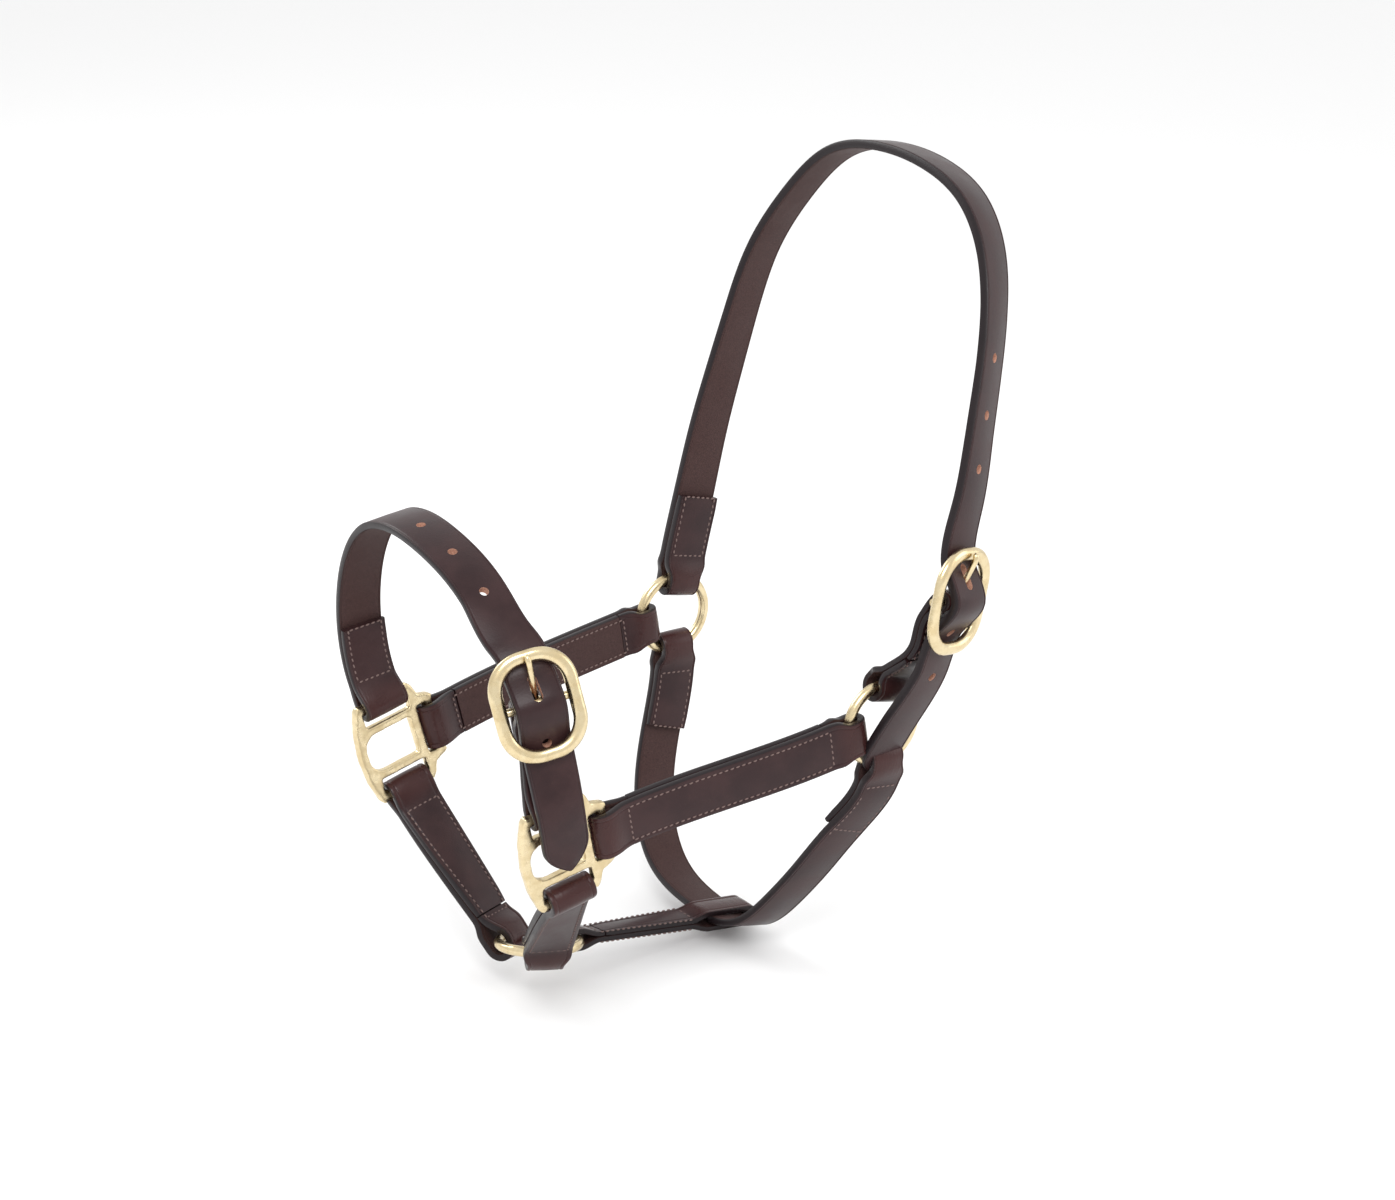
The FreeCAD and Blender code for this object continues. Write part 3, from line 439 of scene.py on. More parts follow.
def cut_away(piece, bm, wall_material=None):
    """Cuts a bmesh in millimetres out of a piece; the walls it leaves may have a material."""
    bmesh.ops.scale(bm, vec=(MM, MM, MM), verts=bm.verts)
    mesh = bpy.data.meshes.new("cutter")
    bm.to_mesh(mesh)
    bm.free()
    cutter = bpy.data.objects.new("cutter", mesh)
    bpy.context.scene.collection.objects.link(cutter)
    cut = piece.modifiers.new("cut", "BOOLEAN")
    cut.operation, cut.solver, cut.object = "DIFFERENCE", "EXACT", cutter
    if wall_material:
        piece.data.materials.append(wall_material)
        mesh.materials.append(wall_material)
        cut.material_mode = "TRANSFER"
    bake_modifiers(piece)
    bpy.data.objects.remove(cutter)


def punch(piece, places):
    """Punches round holes and tongue slots; each place is (frame, length)."""
    bm = bmesh.new()
    for place, long in places:
        made = bmesh.ops.create_cone(bm, cap_ends=True, segments=28, radius1=HOLE_RADIUS,
                                     radius2=HOLE_RADIUS, depth=9.0)["verts"]
        stretch = max(long / 2 - HOLE_RADIUS, 0.0)
        for vert in made:
            vert.co.y += math.copysign(stretch, vert.co.y)
        bmesh.ops.transform(bm, matrix=place.matrix(), verts=made)
    cut_away(piece, bm, RAW)


def bake_modifiers(piece):
    """Replaces a piece's mesh by the one that its modifiers make."""
    graph = bpy.context.evaluated_depsgraph_get()
    mesh = bpy.data.meshes.new_from_object(piece.evaluated_get(graph))
    piece.modifiers.clear()
    old, piece.data = piece.data, mesh
    bpy.data.meshes.remove(old)


# ------------------------------------------------------------------ materials

def new_group(name, inputs, outputs):
    group = bpy.data.node_groups.new(name, "ShaderNodeTree")
    for kind, names in (("INPUT", inputs), ("OUTPUT", outputs)):
        for socket, (kind_of, value) in names.items():
            made = group.interface.new_socket(socket, in_out=kind, socket_type=kind_of)
            if value is not None:
                made.default_value = value
    return group, group.nodes.new("NodeGroupInput"), group.nodes.new("NodeGroupOutput")


class Wiring:
    """Short hands for adding and joining nodes in one node tree."""

    def __init__(self, tree):
        self.nodes, self.links = tree.nodes, tree.links

    def put(self, node, name, value):
        socket = node.inputs[name]
        if isinstance(value, bpy.types.NodeSocket):
            self.links.new(value, socket)
        elif value is not None:
            socket.default_value = value

    def math(self, operation, first, second=None, third=None):
        node = self.nodes.new("ShaderNodeMath")
        node.operation = operation
        for place, value in enumerate((first, second, third)):
            if value is not None:
                self.put(node, place, value)
        return node.outputs[0]

    def attribute(self, name):
        node = self.nodes.new("ShaderNodeAttribute")
        node.attribute_name = name
        return node.outputs["Fac"]

    def here(self, scale=(1000.0, 1000.0, 1000.0)):
        """Object coordinates in millimetres."""
        mapping = self.nodes.new("ShaderNodeMapping")
        mapping.inputs["Scale"].default_value = scale
        self.links.new(self.nodes.new("ShaderNodeTexCoord").outputs["Object"],
                       mapping.inputs["Vector"])
        return mapping.outputs[0]

    def noise(self, vector, scale, detail=3.0, rough=0.55):
        node = self.nodes.new("ShaderNodeTexNoise")
        self.put(node, "Vector", vector)
        self.put(node, "Scale", scale)
        self.put(node, "Detail", detail)
        self.put(node, "Roughness", rough)
        return node.outputs["Fac"]

    def cells(self, vector, scale):
        node = self.nodes.new("ShaderNodeTexVoronoi")
        self.put(node, "Vector", vector)
        self.put(node, "Scale", scale)
        return node.outputs["Distance"]

    def between(self, value, low, high, out_low=0.0, out_high=1.0):
        node = self.nodes.new("ShaderNodeMapRange")
        node.interpolation_type = "SMOOTHSTEP"
        for name, given in (("Value", value), ("From Min", low), ("From Max", high),
                            ("To Min", out_low), ("To Max", out_high)):
            self.put(node, name, given)
        return node.outputs["Result"]

    def mixed(self, share, first, second):
        node = self.nodes.new("ShaderNodeMix")
        node.data_type = "RGBA"
        self.put(node, "Factor", share)
        self.put(node, "A", first)
        self.put(node, "B", second)
        return node.outputs["Result"]


def build_grain():
    """Leather's pores and fine wrinkles, with the slow change of tone across a hide."""
    group, given, result = new_group(
        "leather_grain", {"Pore Size": ("NodeSocketFloat", 0.9), "Wrinkle": ("NodeSocketFloat", 0.0)},
        {"Height": ("NodeSocketFloat", None), "Tone": ("NodeSocketFloat", None),
         "Scuff": ("NodeSocketFloat", None)})
    wire = Wiring(group)
    here = wire.here()
    finer = wire.math("DIVIDE", 1.0, given.outputs["Pore Size"])
    pores = wire.cells(here, finer)
    fine = wire.noise(here, 3.2, 4.0, 0.6)
    slow = wire.noise(here, 0.045, 3.0, 0.6)
    folds = wire.noise(wire.here((1400.0, 260.0, 260.0)), 0.55, 3.0, 0.6)
    pore_part = wire.math("MULTIPLY", pores, 0.5)
    base = wire.math("ADD", pore_part, wire.math("MULTIPLY", fine, 0.35))
    creases = wire.math("MULTIPLY", wire.math("MULTIPLY", folds, given.outputs["Wrinkle"]), 2.2)
    wire.put(result, "Height", wire.math("ADD", base, creases))
    wire.put(result, "Tone", wire.between(slow, 0.3, 0.7))
    scratches = wire.noise(wire.here((300.0, 900.0, 420.0)), 0.5, 5.0, 0.7)
    wire.put(result, "Scuff", wire.between(scratches, 0.6, 0.78))
    return group


def build_fibre():
    """The nap of leather's flesh side and of its raw cut edges."""
    group, given, result = new_group(
        "leather_fibre", {"Size": ("NodeSocketFloat", 1.0)},
        {"Height": ("NodeSocketFloat", None), "Tone": ("NodeSocketFloat", None)})
    wire = Wiring(group)
    here = wire.here()
    strands = wire.noise(here, wire.math("DIVIDE", 2.4, given.outputs["Size"]), 6.0, 0.75)
    clumps = wire.noise(here, wire.math("DIVIDE", 0.5, given.outputs["Size"]), 3.0, 0.6)
    wire.put(result, "Height", wire.math("ADD", strands, wire.math("MULTIPLY", clumps, 0.6)))
    wire.put(result, "Tone", wire.between(strands, 0.35, 0.65))
    return group


def build_cast():
    """The faint ripple, dulling and tarnish of satin brass."""
    group, given, result = new_group(
        "satin_metal", {"Ripple": ("NodeSocketFloat", 1.0)},
        {"Height": ("NodeSocketFloat", None), "Dull": ("NodeSocketFloat", None),
         "Tarnish": ("NodeSocketFloat", None)})
    wire = Wiring(group)
    here = wire.here()
    ripple = wire.math("MULTIPLY", wire.noise(here, 0.28, 2.0, 0.5), given.outputs["Ripple"])
    satin = wire.math("MULTIPLY", wire.noise(here, 5.0, 2.0, 0.5), 0.08)
    wire.put(result, "Height", wire.math("ADD", ripple, satin))
    wire.put(result, "Dull", wire.between(wire.noise(here, 0.16, 4.0, 0.65), 0.35, 0.7))
    wire.put(result, "Tarnish", wire.between(wire.noise(here, 0.33, 5.0, 0.7), 0.52, 0.8))
    return group


GRAIN, FIBRE, CAST = build_grain(), build_fibre(), build_cast()

FACE_DARK, FACE_LIGHT = (0.0240, 0.0100, 0.0110, 1), (0.0380, 0.0165, 0.0170, 1)
PULLED_UP, SCUFFED = (0.060, 0.019, 0.0165, 1), (0.07, 0.045, 0.04, 1)
NAP_DARK, NAP_LIGHT = (0.030, 0.014, 0.0135, 1), (0.066, 0.032, 0.029, 1)
EDGE_PAINT = (0.010, 0.008, 0.0095, 1)
TAN_DARK, TAN_LIGHT = (0.30, 0.13, 0.085, 1), (0.62, 0.36, 0.26, 1)
THREAD_DARK, THREAD_LIGHT = (0.10, 0.062, 0.057, 1), (0.20, 0.13, 0.115, 1)
BRASS_BRIGHT, BRASS_DULL = (0.76, 0.64, 0.41, 1), (0.66, 0.53, 0.31, 1)
TARNISH = (0.42, 0.31, 0.16, 1)


def new_material(name):
    material = bpy.data.materials.new(name)
    material.use_nodes = True
    shader = material.node_tree.nodes["Principled BSDF"]
    return material, shader, Wiring(material.node_tree)


def add_group(wire, group, **values):
    node = wire.nodes.new("ShaderNodeGroup")
    node.node_tree = group
    for name, value in values.items():
        wire.put(node, name.replace("_", " "), value)
    return node.outputs


def bump(wire, shader, height, distance, strength=1.0):
    node = wire.nodes.new("ShaderNodeBump")
    node.inputs["Distance"].default_value = distance * MM
    node.inputs["Strength"].default_value = strength
    wire.put(node, "Height", height)
    wire.put(shader, "Normal", node.outputs[0])


def strap_leather(name, wide, thick):
    """Waxed grain on the front, painted edges, and the flesh side behind."""
    material, shader, wire = new_material(name)
    across, height = wire.attribute("across"), wire.attribute("height")
    bend = wire.attribute("bend")
    grain = add_group(wire, GRAIN, Pore_Size=0.85, Wrinkle=bend)
    fibre = add_group(wire, FIBRE, Size=1.2)
    face = wire.mixed(grain["Tone"], FACE_DARK, FACE_LIGHT)
    face = wire.mixed(wire.math("MULTIPLY", bend, 0.45), face, PULLED_UP)
    face = wire.mixed(wire.math("MULTIPLY", grain["Scuff"], 0.22), face, SCUFFED)
    nap = wire.mixed(fibre["Tone"], NAP_DARK, NAP_LIGHT)
    behind = wire.between(height, -thick / 2 + 0.5, -thick / 2 + 0.15)
    colour = wire.mixed(behind, face, nap)
    rim = wire.between(wire.math("ABSOLUTE", across), wide / 2 - 0.75, wide / 2 - 0.1)
    colour = wire.mixed(wire.math("MULTIPLY", rim, 0.85), colour, EDGE_PAINT)
    wire.put(shader, "Base Color", colour)
    shine = wire.math("MULTIPLY_ADD", grain["Tone"], 0.10, 0.33)
    shine = wire.math("MULTIPLY_ADD", bend, -0.10, shine)
    wire.put(shader, "Roughness", wire.math("MULTIPLY_ADD", behind, 0.34, shine))
    both = wire.math("MULTIPLY_ADD", wire.math("MULTIPLY", behind, fibre["Height"]), 1.6,
                     grain["Height"])
    bump(wire, shader, both, 0.085, 0.8)
    shader.inputs["Specular IOR Level"].default_value = 0.22
    shader.inputs["Coat Weight"].default_value = 0.05
    shader.inputs["Coat Roughness"].default_value = 0.3
    return material


def raw_leather():
    """The tan wall of a punched hole."""
    material, shader, wire = new_material("raw_leather")
    fibre = add_group(wire, FIBRE, Size=0.5)
    wire.put(shader, "Base Color", wire.mixed(fibre["Tone"], TAN_DARK, TAN_LIGHT))
    wire.put(shader, "Roughness", wire.math("MULTIPLY_ADD", fibre["Tone"], 0.1, 0.75))
    bump(wire, shader, fibre["Height"], 0.15)
    return material


def thread():
    """Waxed brown thread, twisted."""
    material, shader, wire = new_material("waxed_thread")
    here = wire.here()
    tone = wire.noise(here, 0.9, 2.0)
    wire.put(shader, "Base Color", wire.mixed(tone, THREAD_DARK, THREAD_LIGHT))
    wire.put(shader, "Roughness", wire.math("MULTIPLY_ADD", tone, 0.15, 0.5))
    bump(wire, shader, wire.noise(here, 6.0, 2.0), 0.06)
    return material


def brass(name, ripple, rough):
    """Satin brass with a little tarnish."""
    material, shader, wire = new_material(name)
    cast = add_group(wire, CAST, Ripple=ripple)
    colour = wire.mixed(cast["Dull"], BRASS_BRIGHT, BRASS_DULL)
    colour = wire.mixed(wire.math("MULTIPLY", cast["Tarnish"], 0.45), colour, TARNISH)
    wire.put(shader, "Base Color", colour)
    shader.inputs["Metallic"].default_value = 1.0
    wear = wire.math("MULTIPLY_ADD", cast["Dull"], 0.12, rough)
    wire.put(shader, "Roughness", wire.math("MULTIPLY_ADD", cast["Tarnish"], 0.1, wear))
    bump(wire, shader, cast["Height"], 0.16)
    return material


CAST_BRASS, WIRE_BRASS = brass("cast_brass", 0.3, 0.25), brass("drawn_brass", 0.35, 0.19)
RAW, THREAD = raw_leather(), thread()
LEATHER = strap_leather("strap_leather", STRAP_WIDE, STRAP_THICK)
CROWN_LEATHER = strap_leather("crown_leather", STRAP_WIDE, CROWN_THICK)
CHAPE_LEATHER = strap_leather("chape_leather", STRAP_WIDE, CHAPE_THICK)
JAW_LEATHER = strap_leather("jaw_leather", JAW_WIDE, JAW_THICK)


# ------------------------------------------------------------------ leather pieces

def seam(name, body, rows):
    """The stitches of one piece; each row is a list of (point, way on, out) places."""
    bm = bmesh.new()
    for row in rows:
        for point, along, out in row:
            made = bmesh.ops.create_uvsphere(bm, u_segments=7, v_segments=5, radius=1.0)["verts"]
            slant = 0.16 + random.uniform(-0.05, 0.05)
            side = out.cross(along).normalized()
            along = (along + side * slant).normalized()
            side = out.cross(along).normalized()
            columns = (side * STITCH_WIDE, out * (STITCH_WIDE * 0.8), along * (STITCH_LONG / 2),
                       point)
            place = Matrix([[column[i] for column in columns] for i in range(3)] + [[0, 0, 0, 1]])
            bmesh.ops.transform(bm, matrix=place, verts=made)
    return finished(bm, name, body, THREAD)


def stitch_row(sections, side, wide, thick, start, end, front=True):
    """Stitches along one edge of a run of sections, from one distance to another."""
    places, lengths = [], [0.0]
    for before, one in zip(sections, sections[1:]):
        lengths.append(lengths[-1] + (one.point - before.point).length)
    count = max(1, int((end - start) / STITCH_PITCH))
    for number in range(count):
        gone = start + (number + 0.5) * (end - start) / count
        index = min(int(np.searchsorted(lengths, gone)), len(sections) - 1)
        before, one = sections[max(index - 1, 0)], sections[index]
        span = max(lengths[index] - lengths[max(index - 1, 0)], 1e-6)
        part = 1 - (lengths[index] - gone) / span if index else 0.0
        point = before.point.lerp(one.point, max(0.0, min(part, 1.0)))
        out = one.front if front else one.front * -1
        offset = one.across * (side * (wide / 2 - SEAM_INSET) * (one.wide / wide))
        places.append((point + offset + out * (thick / 2 - 0.16), one.along, out))
    return places


def cross_row(one, wide, thick, front=True):
    """A short row of stitches across a strap."""
    out = one.front if front else one.front * -1
    half = wide / 2 - SEAM_INSET
    count = max(2, int(2 * half / STITCH_PITCH))
    return [(one.point + one.across * (half * (2 * (number + 0.5) / count - 1))
             + out * (thick / 2 - 0.02), one.across, out)
            for number in range(count)]


def seam_round(name, body, stations, wide, thick, margin):
    """A doubled strap's seam, along its edges and across its ends, on both of its faces."""
    ply = (thick + PLY_GAP) / 2
    total = stations[-1].distance
    front, behind = [one.moved(ply) for one in stations], [one.moved(-ply) for one in stations]
    rows = []
    for side in (1, -1):
        rows.append(stitch_row(front, side, wide, thick, margin, total - margin))
        rows.append(stitch_row(behind, side, wide, thick, margin, total - margin, front=False))
    for run, faces_front in ((front, True), (behind, False)):
        for goal in (margin, total - margin):
            one = min(run, key=lambda each: abs(each.distance - goal))
            rows.append(cross_row(one, wide, thick, faces_front))
    seam(f"{name}_thread", body, rows)


def doubled_strap(name, body, path, wide, thick, eyes, material, first=None, last=None,
                  groove=SEAM_INSET, margin=12.0):
    """A strap whose two fold-backs meet behind it, with a seam along each edge.

    They meet in its middle, or as far from one end as first or last gives.
    """
    total = route(*path)[-1].distance
    meet = first or total - (last or total / 2)
    stations = route(*path, stops=(meet - SPLIT, meet + SPLIT))
    sections = fold(stations, wide, thick, eyes, (meet, total - meet))
    piece = finished(strap_bmesh(sections, wide, thick, groove), name, body,
                     material)
    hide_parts(name)
    seam_round(name, body, stations, wide, thick, margin)
    return piece


def make_cheek(side):
    """A long strap folded back at both ends, with a backing between the two returns."""
    sign, place, centre = SIDES[side], SQUARE[side], RING[side]
    reach = place.origin - centre
    reach.y = 0
    reach.normalize()
    points = [CHEEK_BAR[side], centre + reach * RING_RADIUS]
    tangent = OFF_SIDE.cross(reach)
    straight = points[1] - points[0]
    start = straight - place.v * straight.dot(place.v)
    eyes = (bar_eye(SQUARE_BAR), ring_eye())
    stops = (CHEEK_RETURN - SPLIT, CHEEK_RETURN + SPLIT, SPLIT - CHEEK_RETURN, -SPLIT - CHEEK_RETURN)
    stations = route(points, [place.v * sign, tangent * sign], start, reach * -1, stops=stops)
    total = stations[-1].distance
    sections = fold(stations, STRAP_WIDE, STRAP_THICK, eyes, (CHEEK_RETURN, CHEEK_RETURN))
    name = f"{side}_cheek"
    bm = strap_bmesh(sections, STRAP_WIDE, STRAP_THICK, SEAM_INSET)
    piece = finished(bm, name, "front", LEATHER)
    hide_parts(name)
    ply = (STRAP_THICK + PLY_GAP) / 2
    inner = [one.moved(-ply) for one in stations
             if CHEEK_RETURN <= one.distance <= total - CHEEK_RETURN]
    backing = finished(strap_bmesh(inner, STRAP_WIDE, STRAP_THICK, SEAM_INSET),
                       f"{name}_backing", "front", LEATHER)
    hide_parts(f"{name}_backing")
    seam_round(name, "front", stations, STRAP_WIDE, STRAP_THICK, SEAM_START)


def make_chin_strap(side):
    """From the bottom bar of a square to the chin ring, where the two sides fan out."""
    sign, place = SIDES[side], SQUARE[side]
    fan_sin, fan_cos = lean(114.0)
    out = CHIN.u * fan_cos + CHIN.v * (sign * fan_sin)
    tangent = CHIN.u * fan_sin - CHIN.v * (sign * fan_cos)
    points = [CHIN_BAR[side], CHIN.origin + out * RING_RADIUS]
    drop = (points[1] - points[0]).normalized()
    slope = math.degrees(math.acos(abs(drop.dot(out))))
    start = drop - place.u * drop.dot(place.u)
    path = (points, [place.u * sign, tangent * sign], start, drop)
    doubled_strap(f"{side}_chin_strap", "front", path, STRAP_WIDE, STRAP_THICK,
                  (bar_eye(SQUARE_BAR), ring_eye(WAIST, slope)), LEATHER, last=RING_RETURN)


def through_buckle(buckle, thick):
    """The billet's way through a buckle: under the wire, over the bar, under the wire."""
    corner_inset = STRAP_WIDE / 2 - (BUCKLE_WIDE / 2 - BUCKLE_CORNER)
    passes = (BUCKLE_LONG / 2 - BUCKLE_CORNER
              + math.sqrt(BUCKLE_CORNER ** 2 - corner_inset ** 2))
    under = BUCKLE_WIRE + WIRE_PLAY + thick / 2
    over = BUCKLE_BAR + CHAPE_PLAY + CHAPE_THICK + WIRE_PLAY + thick / 2
    slope = (math.asin((under + over) / math.hypot(passes, BUCKLE_SET))
             - math.atan2(BUCKLE_SET, passes))
    ply = (thick + PLY_GAP) / 2
    places = [(passes - under * math.sin(turn), BUCKLE_SET - under * math.cos(turn), -turn)
              for turn in (0.0, slope)]
    places.append((passes / 2 + (over - under) / 2 * math.sin(slope),
                   BUCKLE_SET / 2 + (over - under) / 2 * math.cos(slope), -slope))
    places.append((over * math.sin(slope), over * math.cos(slope), -slope))
    places.append((0.0, over, 0.0))
    places += [(-along, out, -turn) for along, out, turn in reversed(places[:-1])]
    rise = (over - TONGUE_WIRE * math.cos(slope)) / math.cos(slope)
    across = rise / (math.tan(slope) + TONGUE_SLOPE)
    tongue = over * slope + (across - over * math.sin(slope)) / math.cos(slope)
    return [buckle.at(0, along + ply * math.sin(turn), out - ply * math.cos(turn))
            for along, out, turn in places], tongue


def billet_holes(stations, thick, buckle, tongue, above, below):
    """Places of the spare holes and of the hole that the tongue is through."""
    ply = (thick + PLY_GAP) / 2
    bar = min(stations, key=lambda one: (one.point - buckle.origin).length).distance
    engaged = bar - tongue
    holes = []
    steps = [(-step, 0.0) for step in above] + [(step, 0.0) for step in below]
    for step, long in steps + [(0, TONGUE_SLOT)]:
        goal = engaged + step * HOLE_PITCH
        one = min(stations, key=lambda each: abs(each.distance - goal)).moved(ply)
        holes.append((Place(one.point, one.across, one.along), long))
    return holes


def make_crown_strap():
    """From the off ring over the head, through its buckle and on down past the near ring."""
    half, top, back = RING_HALF_SPAN, CROWN_RISE + PLY_GAP, CROWN_BEHIND

    def at(across, up, behind=0.0):
        return RING_AXIS + OFF_SIDE * across + CROWN_UP * up + CROWN_BACK * behind

    bend = [at(half - 1, 66, 1), at(half - 1, 100, 3), at(half - 2, 133, 6), at(half - 5, 165, 8),
            at(half - 11, 198, 10), at(half - 29, 231, 12), at(half - 53, top - 10, back),
            at(0, top, back), at(-37, top - 2, back), at(25 - half, top - 12, back),
            at(4 - half, top - 32, 12), at(-8 - half, top - 56, 10), at(-15 - half, top - 84, 8),
            at(-21 - half, top - 115, 5), at(-26 - half, top - 146, 2)]
    buckled, tongue = through_buckle(CROWN_BUCKLE, CROWN_THICK)
    tail = [at(-26 - half, 38.5), at(-13 - half, 10), at(-2 - half, -12), at(4 - half, -25)]
    points = [at(half, RING_RADIUS)] + bend + buckled + tail
    # The strap's back edge turns to the off side as it comes over the head.
    twists = [0, 0, 0.08, 0.16, 0.24, 0.28, 0.3, 0.32, 0.34, 0.38, 0.42, 0.46, 0.5, 0.5, 0.45, 0.36]
    acrosses = [CROWN_BACK + OFF_SIDE * twist for twist in twists]
    acrosses += [CROWN_BUCKLE.u] * (len(buckled) + 1)
    acrosses += [CROWN_BACK + CROWN_BUCKLE.u] * 2 + [CROWN_BACK] * (len(tail) - 3)
    stations = route(points, [one * -1 for one in acrosses], start=CROWN_UP)
    sections = fold(stations, STRAP_WIDE, CROWN_THICK, (ring_eye(), None),
                    (CROWN_RETURN, 0))
    bm = strap_bmesh(pointed(sections, POINT_LONG), STRAP_WIDE, CROWN_THICK, CREASE_INSET)
    piece = finished(bm, "crown_strap", None, CROWN_LEATHER)
    punch(piece, billet_holes(stations, CROWN_THICK, CROWN_BUCKLE, tongue, (2, 3, 4), (1, 2)))
    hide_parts("crown_strap")
    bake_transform(piece)
    return_seam("crown_return", "crown", stations, CROWN_THICK, SEAM_START, CROWN_RETURN - 1.0)


def return_seam(name, body, stations, thick, start, end):
    """The seam that holds a fold-back, on both faces of the strap."""
    ply = (thick + PLY_GAP) / 2
    rows = []
    for run, faces_front in (([one.moved(ply) for one in stations], True),
                             ([one.moved(-ply) for one in stations], False)):
        for side in (1, -1):
            rows.append(stitch_row(run, side, STRAP_WIDE, thick, start, end, front=faces_front))
        for goal in (start, end):
            one = min(run, key=lambda each: abs(each.distance - goal))
            rows.append(cross_row(one, STRAP_WIDE, thick, faces_front))
    seam(f"{name}_thread", body, rows)


def make_nose_strap():
    """From the off square over the nose, through its buckle to the near square."""
    middle = (NOSE_BAR["off"] + NOSE_BAR["near"]) / 2
    half = (NOSE_BAR["off"] - NOSE_BAR["near"]).length / 2
    ply = (STRAP_THICK + PLY_GAP) / 2

    def at(across, up):
        return middle + OFF_SIDE * across + NOSE_UP * up

    bar = SQUARE["off"].u
    leave = OFF_SIDE * 0.42 + NOSE_UP
    leave -= bar * leave.dot(bar)
    bend = [at(half + 10, 34), at(half + 4, 59), at(half - 12, 87), at(half - 38, NOSE_RISE - 7),
            at(half - 62, NOSE_RISE - ply), at(half - 84, NOSE_RISE - 4),
            at(37 - half, NOSE_RISE - 20), at(20 - half, NOSE_RISE - 34)]
    buckled, tongue = through_buckle(NOSE_BUCKLE, STRAP_THICK)
    near = SQUARE["near"]
    clear = SQUARE_BAR + CHAPE_PLAY + CHAPE_THICK + WIRE_PLAY + STRAP_THICK / 2
    tail = [near.at(SLOT_SHIFT, SQUARE_REACH + 4, clear + 0.5 - ply),
            near.at(SLOT_SHIFT, 8, clear - 1.0 - ply), near.at(SLOT_SHIFT, -6, clear - 2.0 - ply)]
    points = [NOSE_BAR["off"]] + bend + buckled + tail
    acrosses = [SQUARE["off"].u] + [NOSE_BACK] * (len(bend) - 1)
    acrosses += [NOSE_BUCKLE.u] * (len(buckled) + 1) + [near.u] * len(tail)
    stations = route(points, [one * -1 for one in acrosses], start=leave)
    sections = fold(stations, STRAP_WIDE, STRAP_THICK, (bar_eye(SQUARE_BAR), None),
                    (NOSE_RETURN, 0))
    bm = strap_bmesh(pointed(sections, POINT_LONG), STRAP_WIDE, STRAP_THICK, CREASE_INSET)
    piece = finished(bm, "nose_strap", "front", LEATHER)
    punch(piece, billet_holes(stations, STRAP_THICK, NOSE_BUCKLE, tongue, (2, 3, 4), (1,)))
    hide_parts("nose_strap")
    return_seam("nose_return", "front", stations, STRAP_THICK, SEAM_START, NOSE_RETURN - 1.0)


def make_chape(name, body, buckle, anchor, anchor_across, leave, eye):
    """The doubled strap that holds a buckle, with a slot for the tongue's eye."""
    half_buckle, billet_play = BUCKLE_LONG / 2, 1.6
    behind = (BUCKLE_SET - BUCKLE_WIRE - WIRE_PLAY - CROWN_THICK - billet_play - CHAPE_THICK
              - PLY_GAP / 2)
    points = [anchor, buckle.at(0, -half_buckle, behind),
              buckle.at(0, -half_buckle / 2, behind * 0.9), buckle.origin]
    acrosses = [anchor_across * -1] + [buckle.u * -1] * 3
    path = (points, acrosses, leave, buckle.v + buckle.w)
    piece = doubled_strap(name, body, path, STRAP_WIDE, CHAPE_THICK,
                          (eye, bar_eye(BUCKLE_BAR)), CHAPE_LEATHER, margin=11.0)
    bm = bmesh.new()
    bmesh.ops.create_cube(bm, size=1.0)
    bmesh.ops.scale(bm, vec=(6.0, 13.0, 16.0), verts=bm.verts)
    bmesh.ops.transform(bm, matrix=Place(buckle.at(0, 1.5, 0), buckle.u, buckle.v).matrix(),
                        verts=bm.verts)
    cut_away(piece, bm)


def make_throat_strap():
    """From ring to ring under the throat, folded back at both ends."""
    half, floor = RING_HALF_SPAN, THROAT_DROP - (STRAP_THICK + PLY_GAP) / 2

    def at(across, down, behind=0.0):
        return RING_AXIS + OFF_SIDE * across + THROAT_DOWN * down + THROAT_BACK * behind

    shape = [(half - 4, 66, 6), (half - 8, 85, 4.5), (half - 17, 104, 2.5),
             (half - 37, floor - 9, 1), (half - 63, floor - 1.5, 0), (10, floor, 0),
             (-8, floor, 0), (-24, floor - 5, 0), (-43, floor - 24, 1), (-59, floor - 47, 2),
             (-74, floor - 72, 4)]
    points = [RING["off"] - UP * RING_RADIUS] + [at(*place) for place in shape]
    points.append(RING["near"] - UP * RING_RADIUS)
    acrosses = [BACK] + [THROAT_BACK] * (len(points) - 2) + [BACK]
    stations = route(points, acrosses, UP * -1, UP + OFF_SIDE * -0.15)
    sections = fold(stations, STRAP_WIDE, STRAP_THICK, (ring_eye(), ring_eye()),
                    (THROAT_RETURN, THROAT_RETURN))
    bm = strap_bmesh(sections, STRAP_WIDE, STRAP_THICK, CREASE_INSET)
    piece = finished(bm, "throat_strap", "front", LEATHER)
    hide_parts("throat_strap")
    total, seam_end = stations[-1].distance, THROAT_RETURN - 1.0
    return_seam("throat_off", "front", stations, STRAP_THICK, SEAM_START, seam_end)
    return_seam("throat_near", "front", stations, STRAP_THICK, total - seam_end,
                total - SEAM_START)


def make_jaw_strap():
    """From the chin ring to a loop round the throat strap."""
    back = (THROAT_FLOOR - CHIN.origin).normalized()
    points = [CHIN.at(RING_RADIUS), THROAT_FLOOR - back * (STRAP_WIDE / 2)]
    way = points[1] - points[0]
    path = (points, [CHIN.v, OFF_SIDE], way, way)
    loop = Eye(STRAP_THICK / 2 + 0.9, STRAP_WIDE)
    doubled_strap("jaw_strap", "jaw", path, JAW_WIDE, JAW_THICK, (ring_eye(JAW_WIDE), loop),
                  JAW_LEATHER, first=RING_RETURN, groove=2.3, margin=11.0)


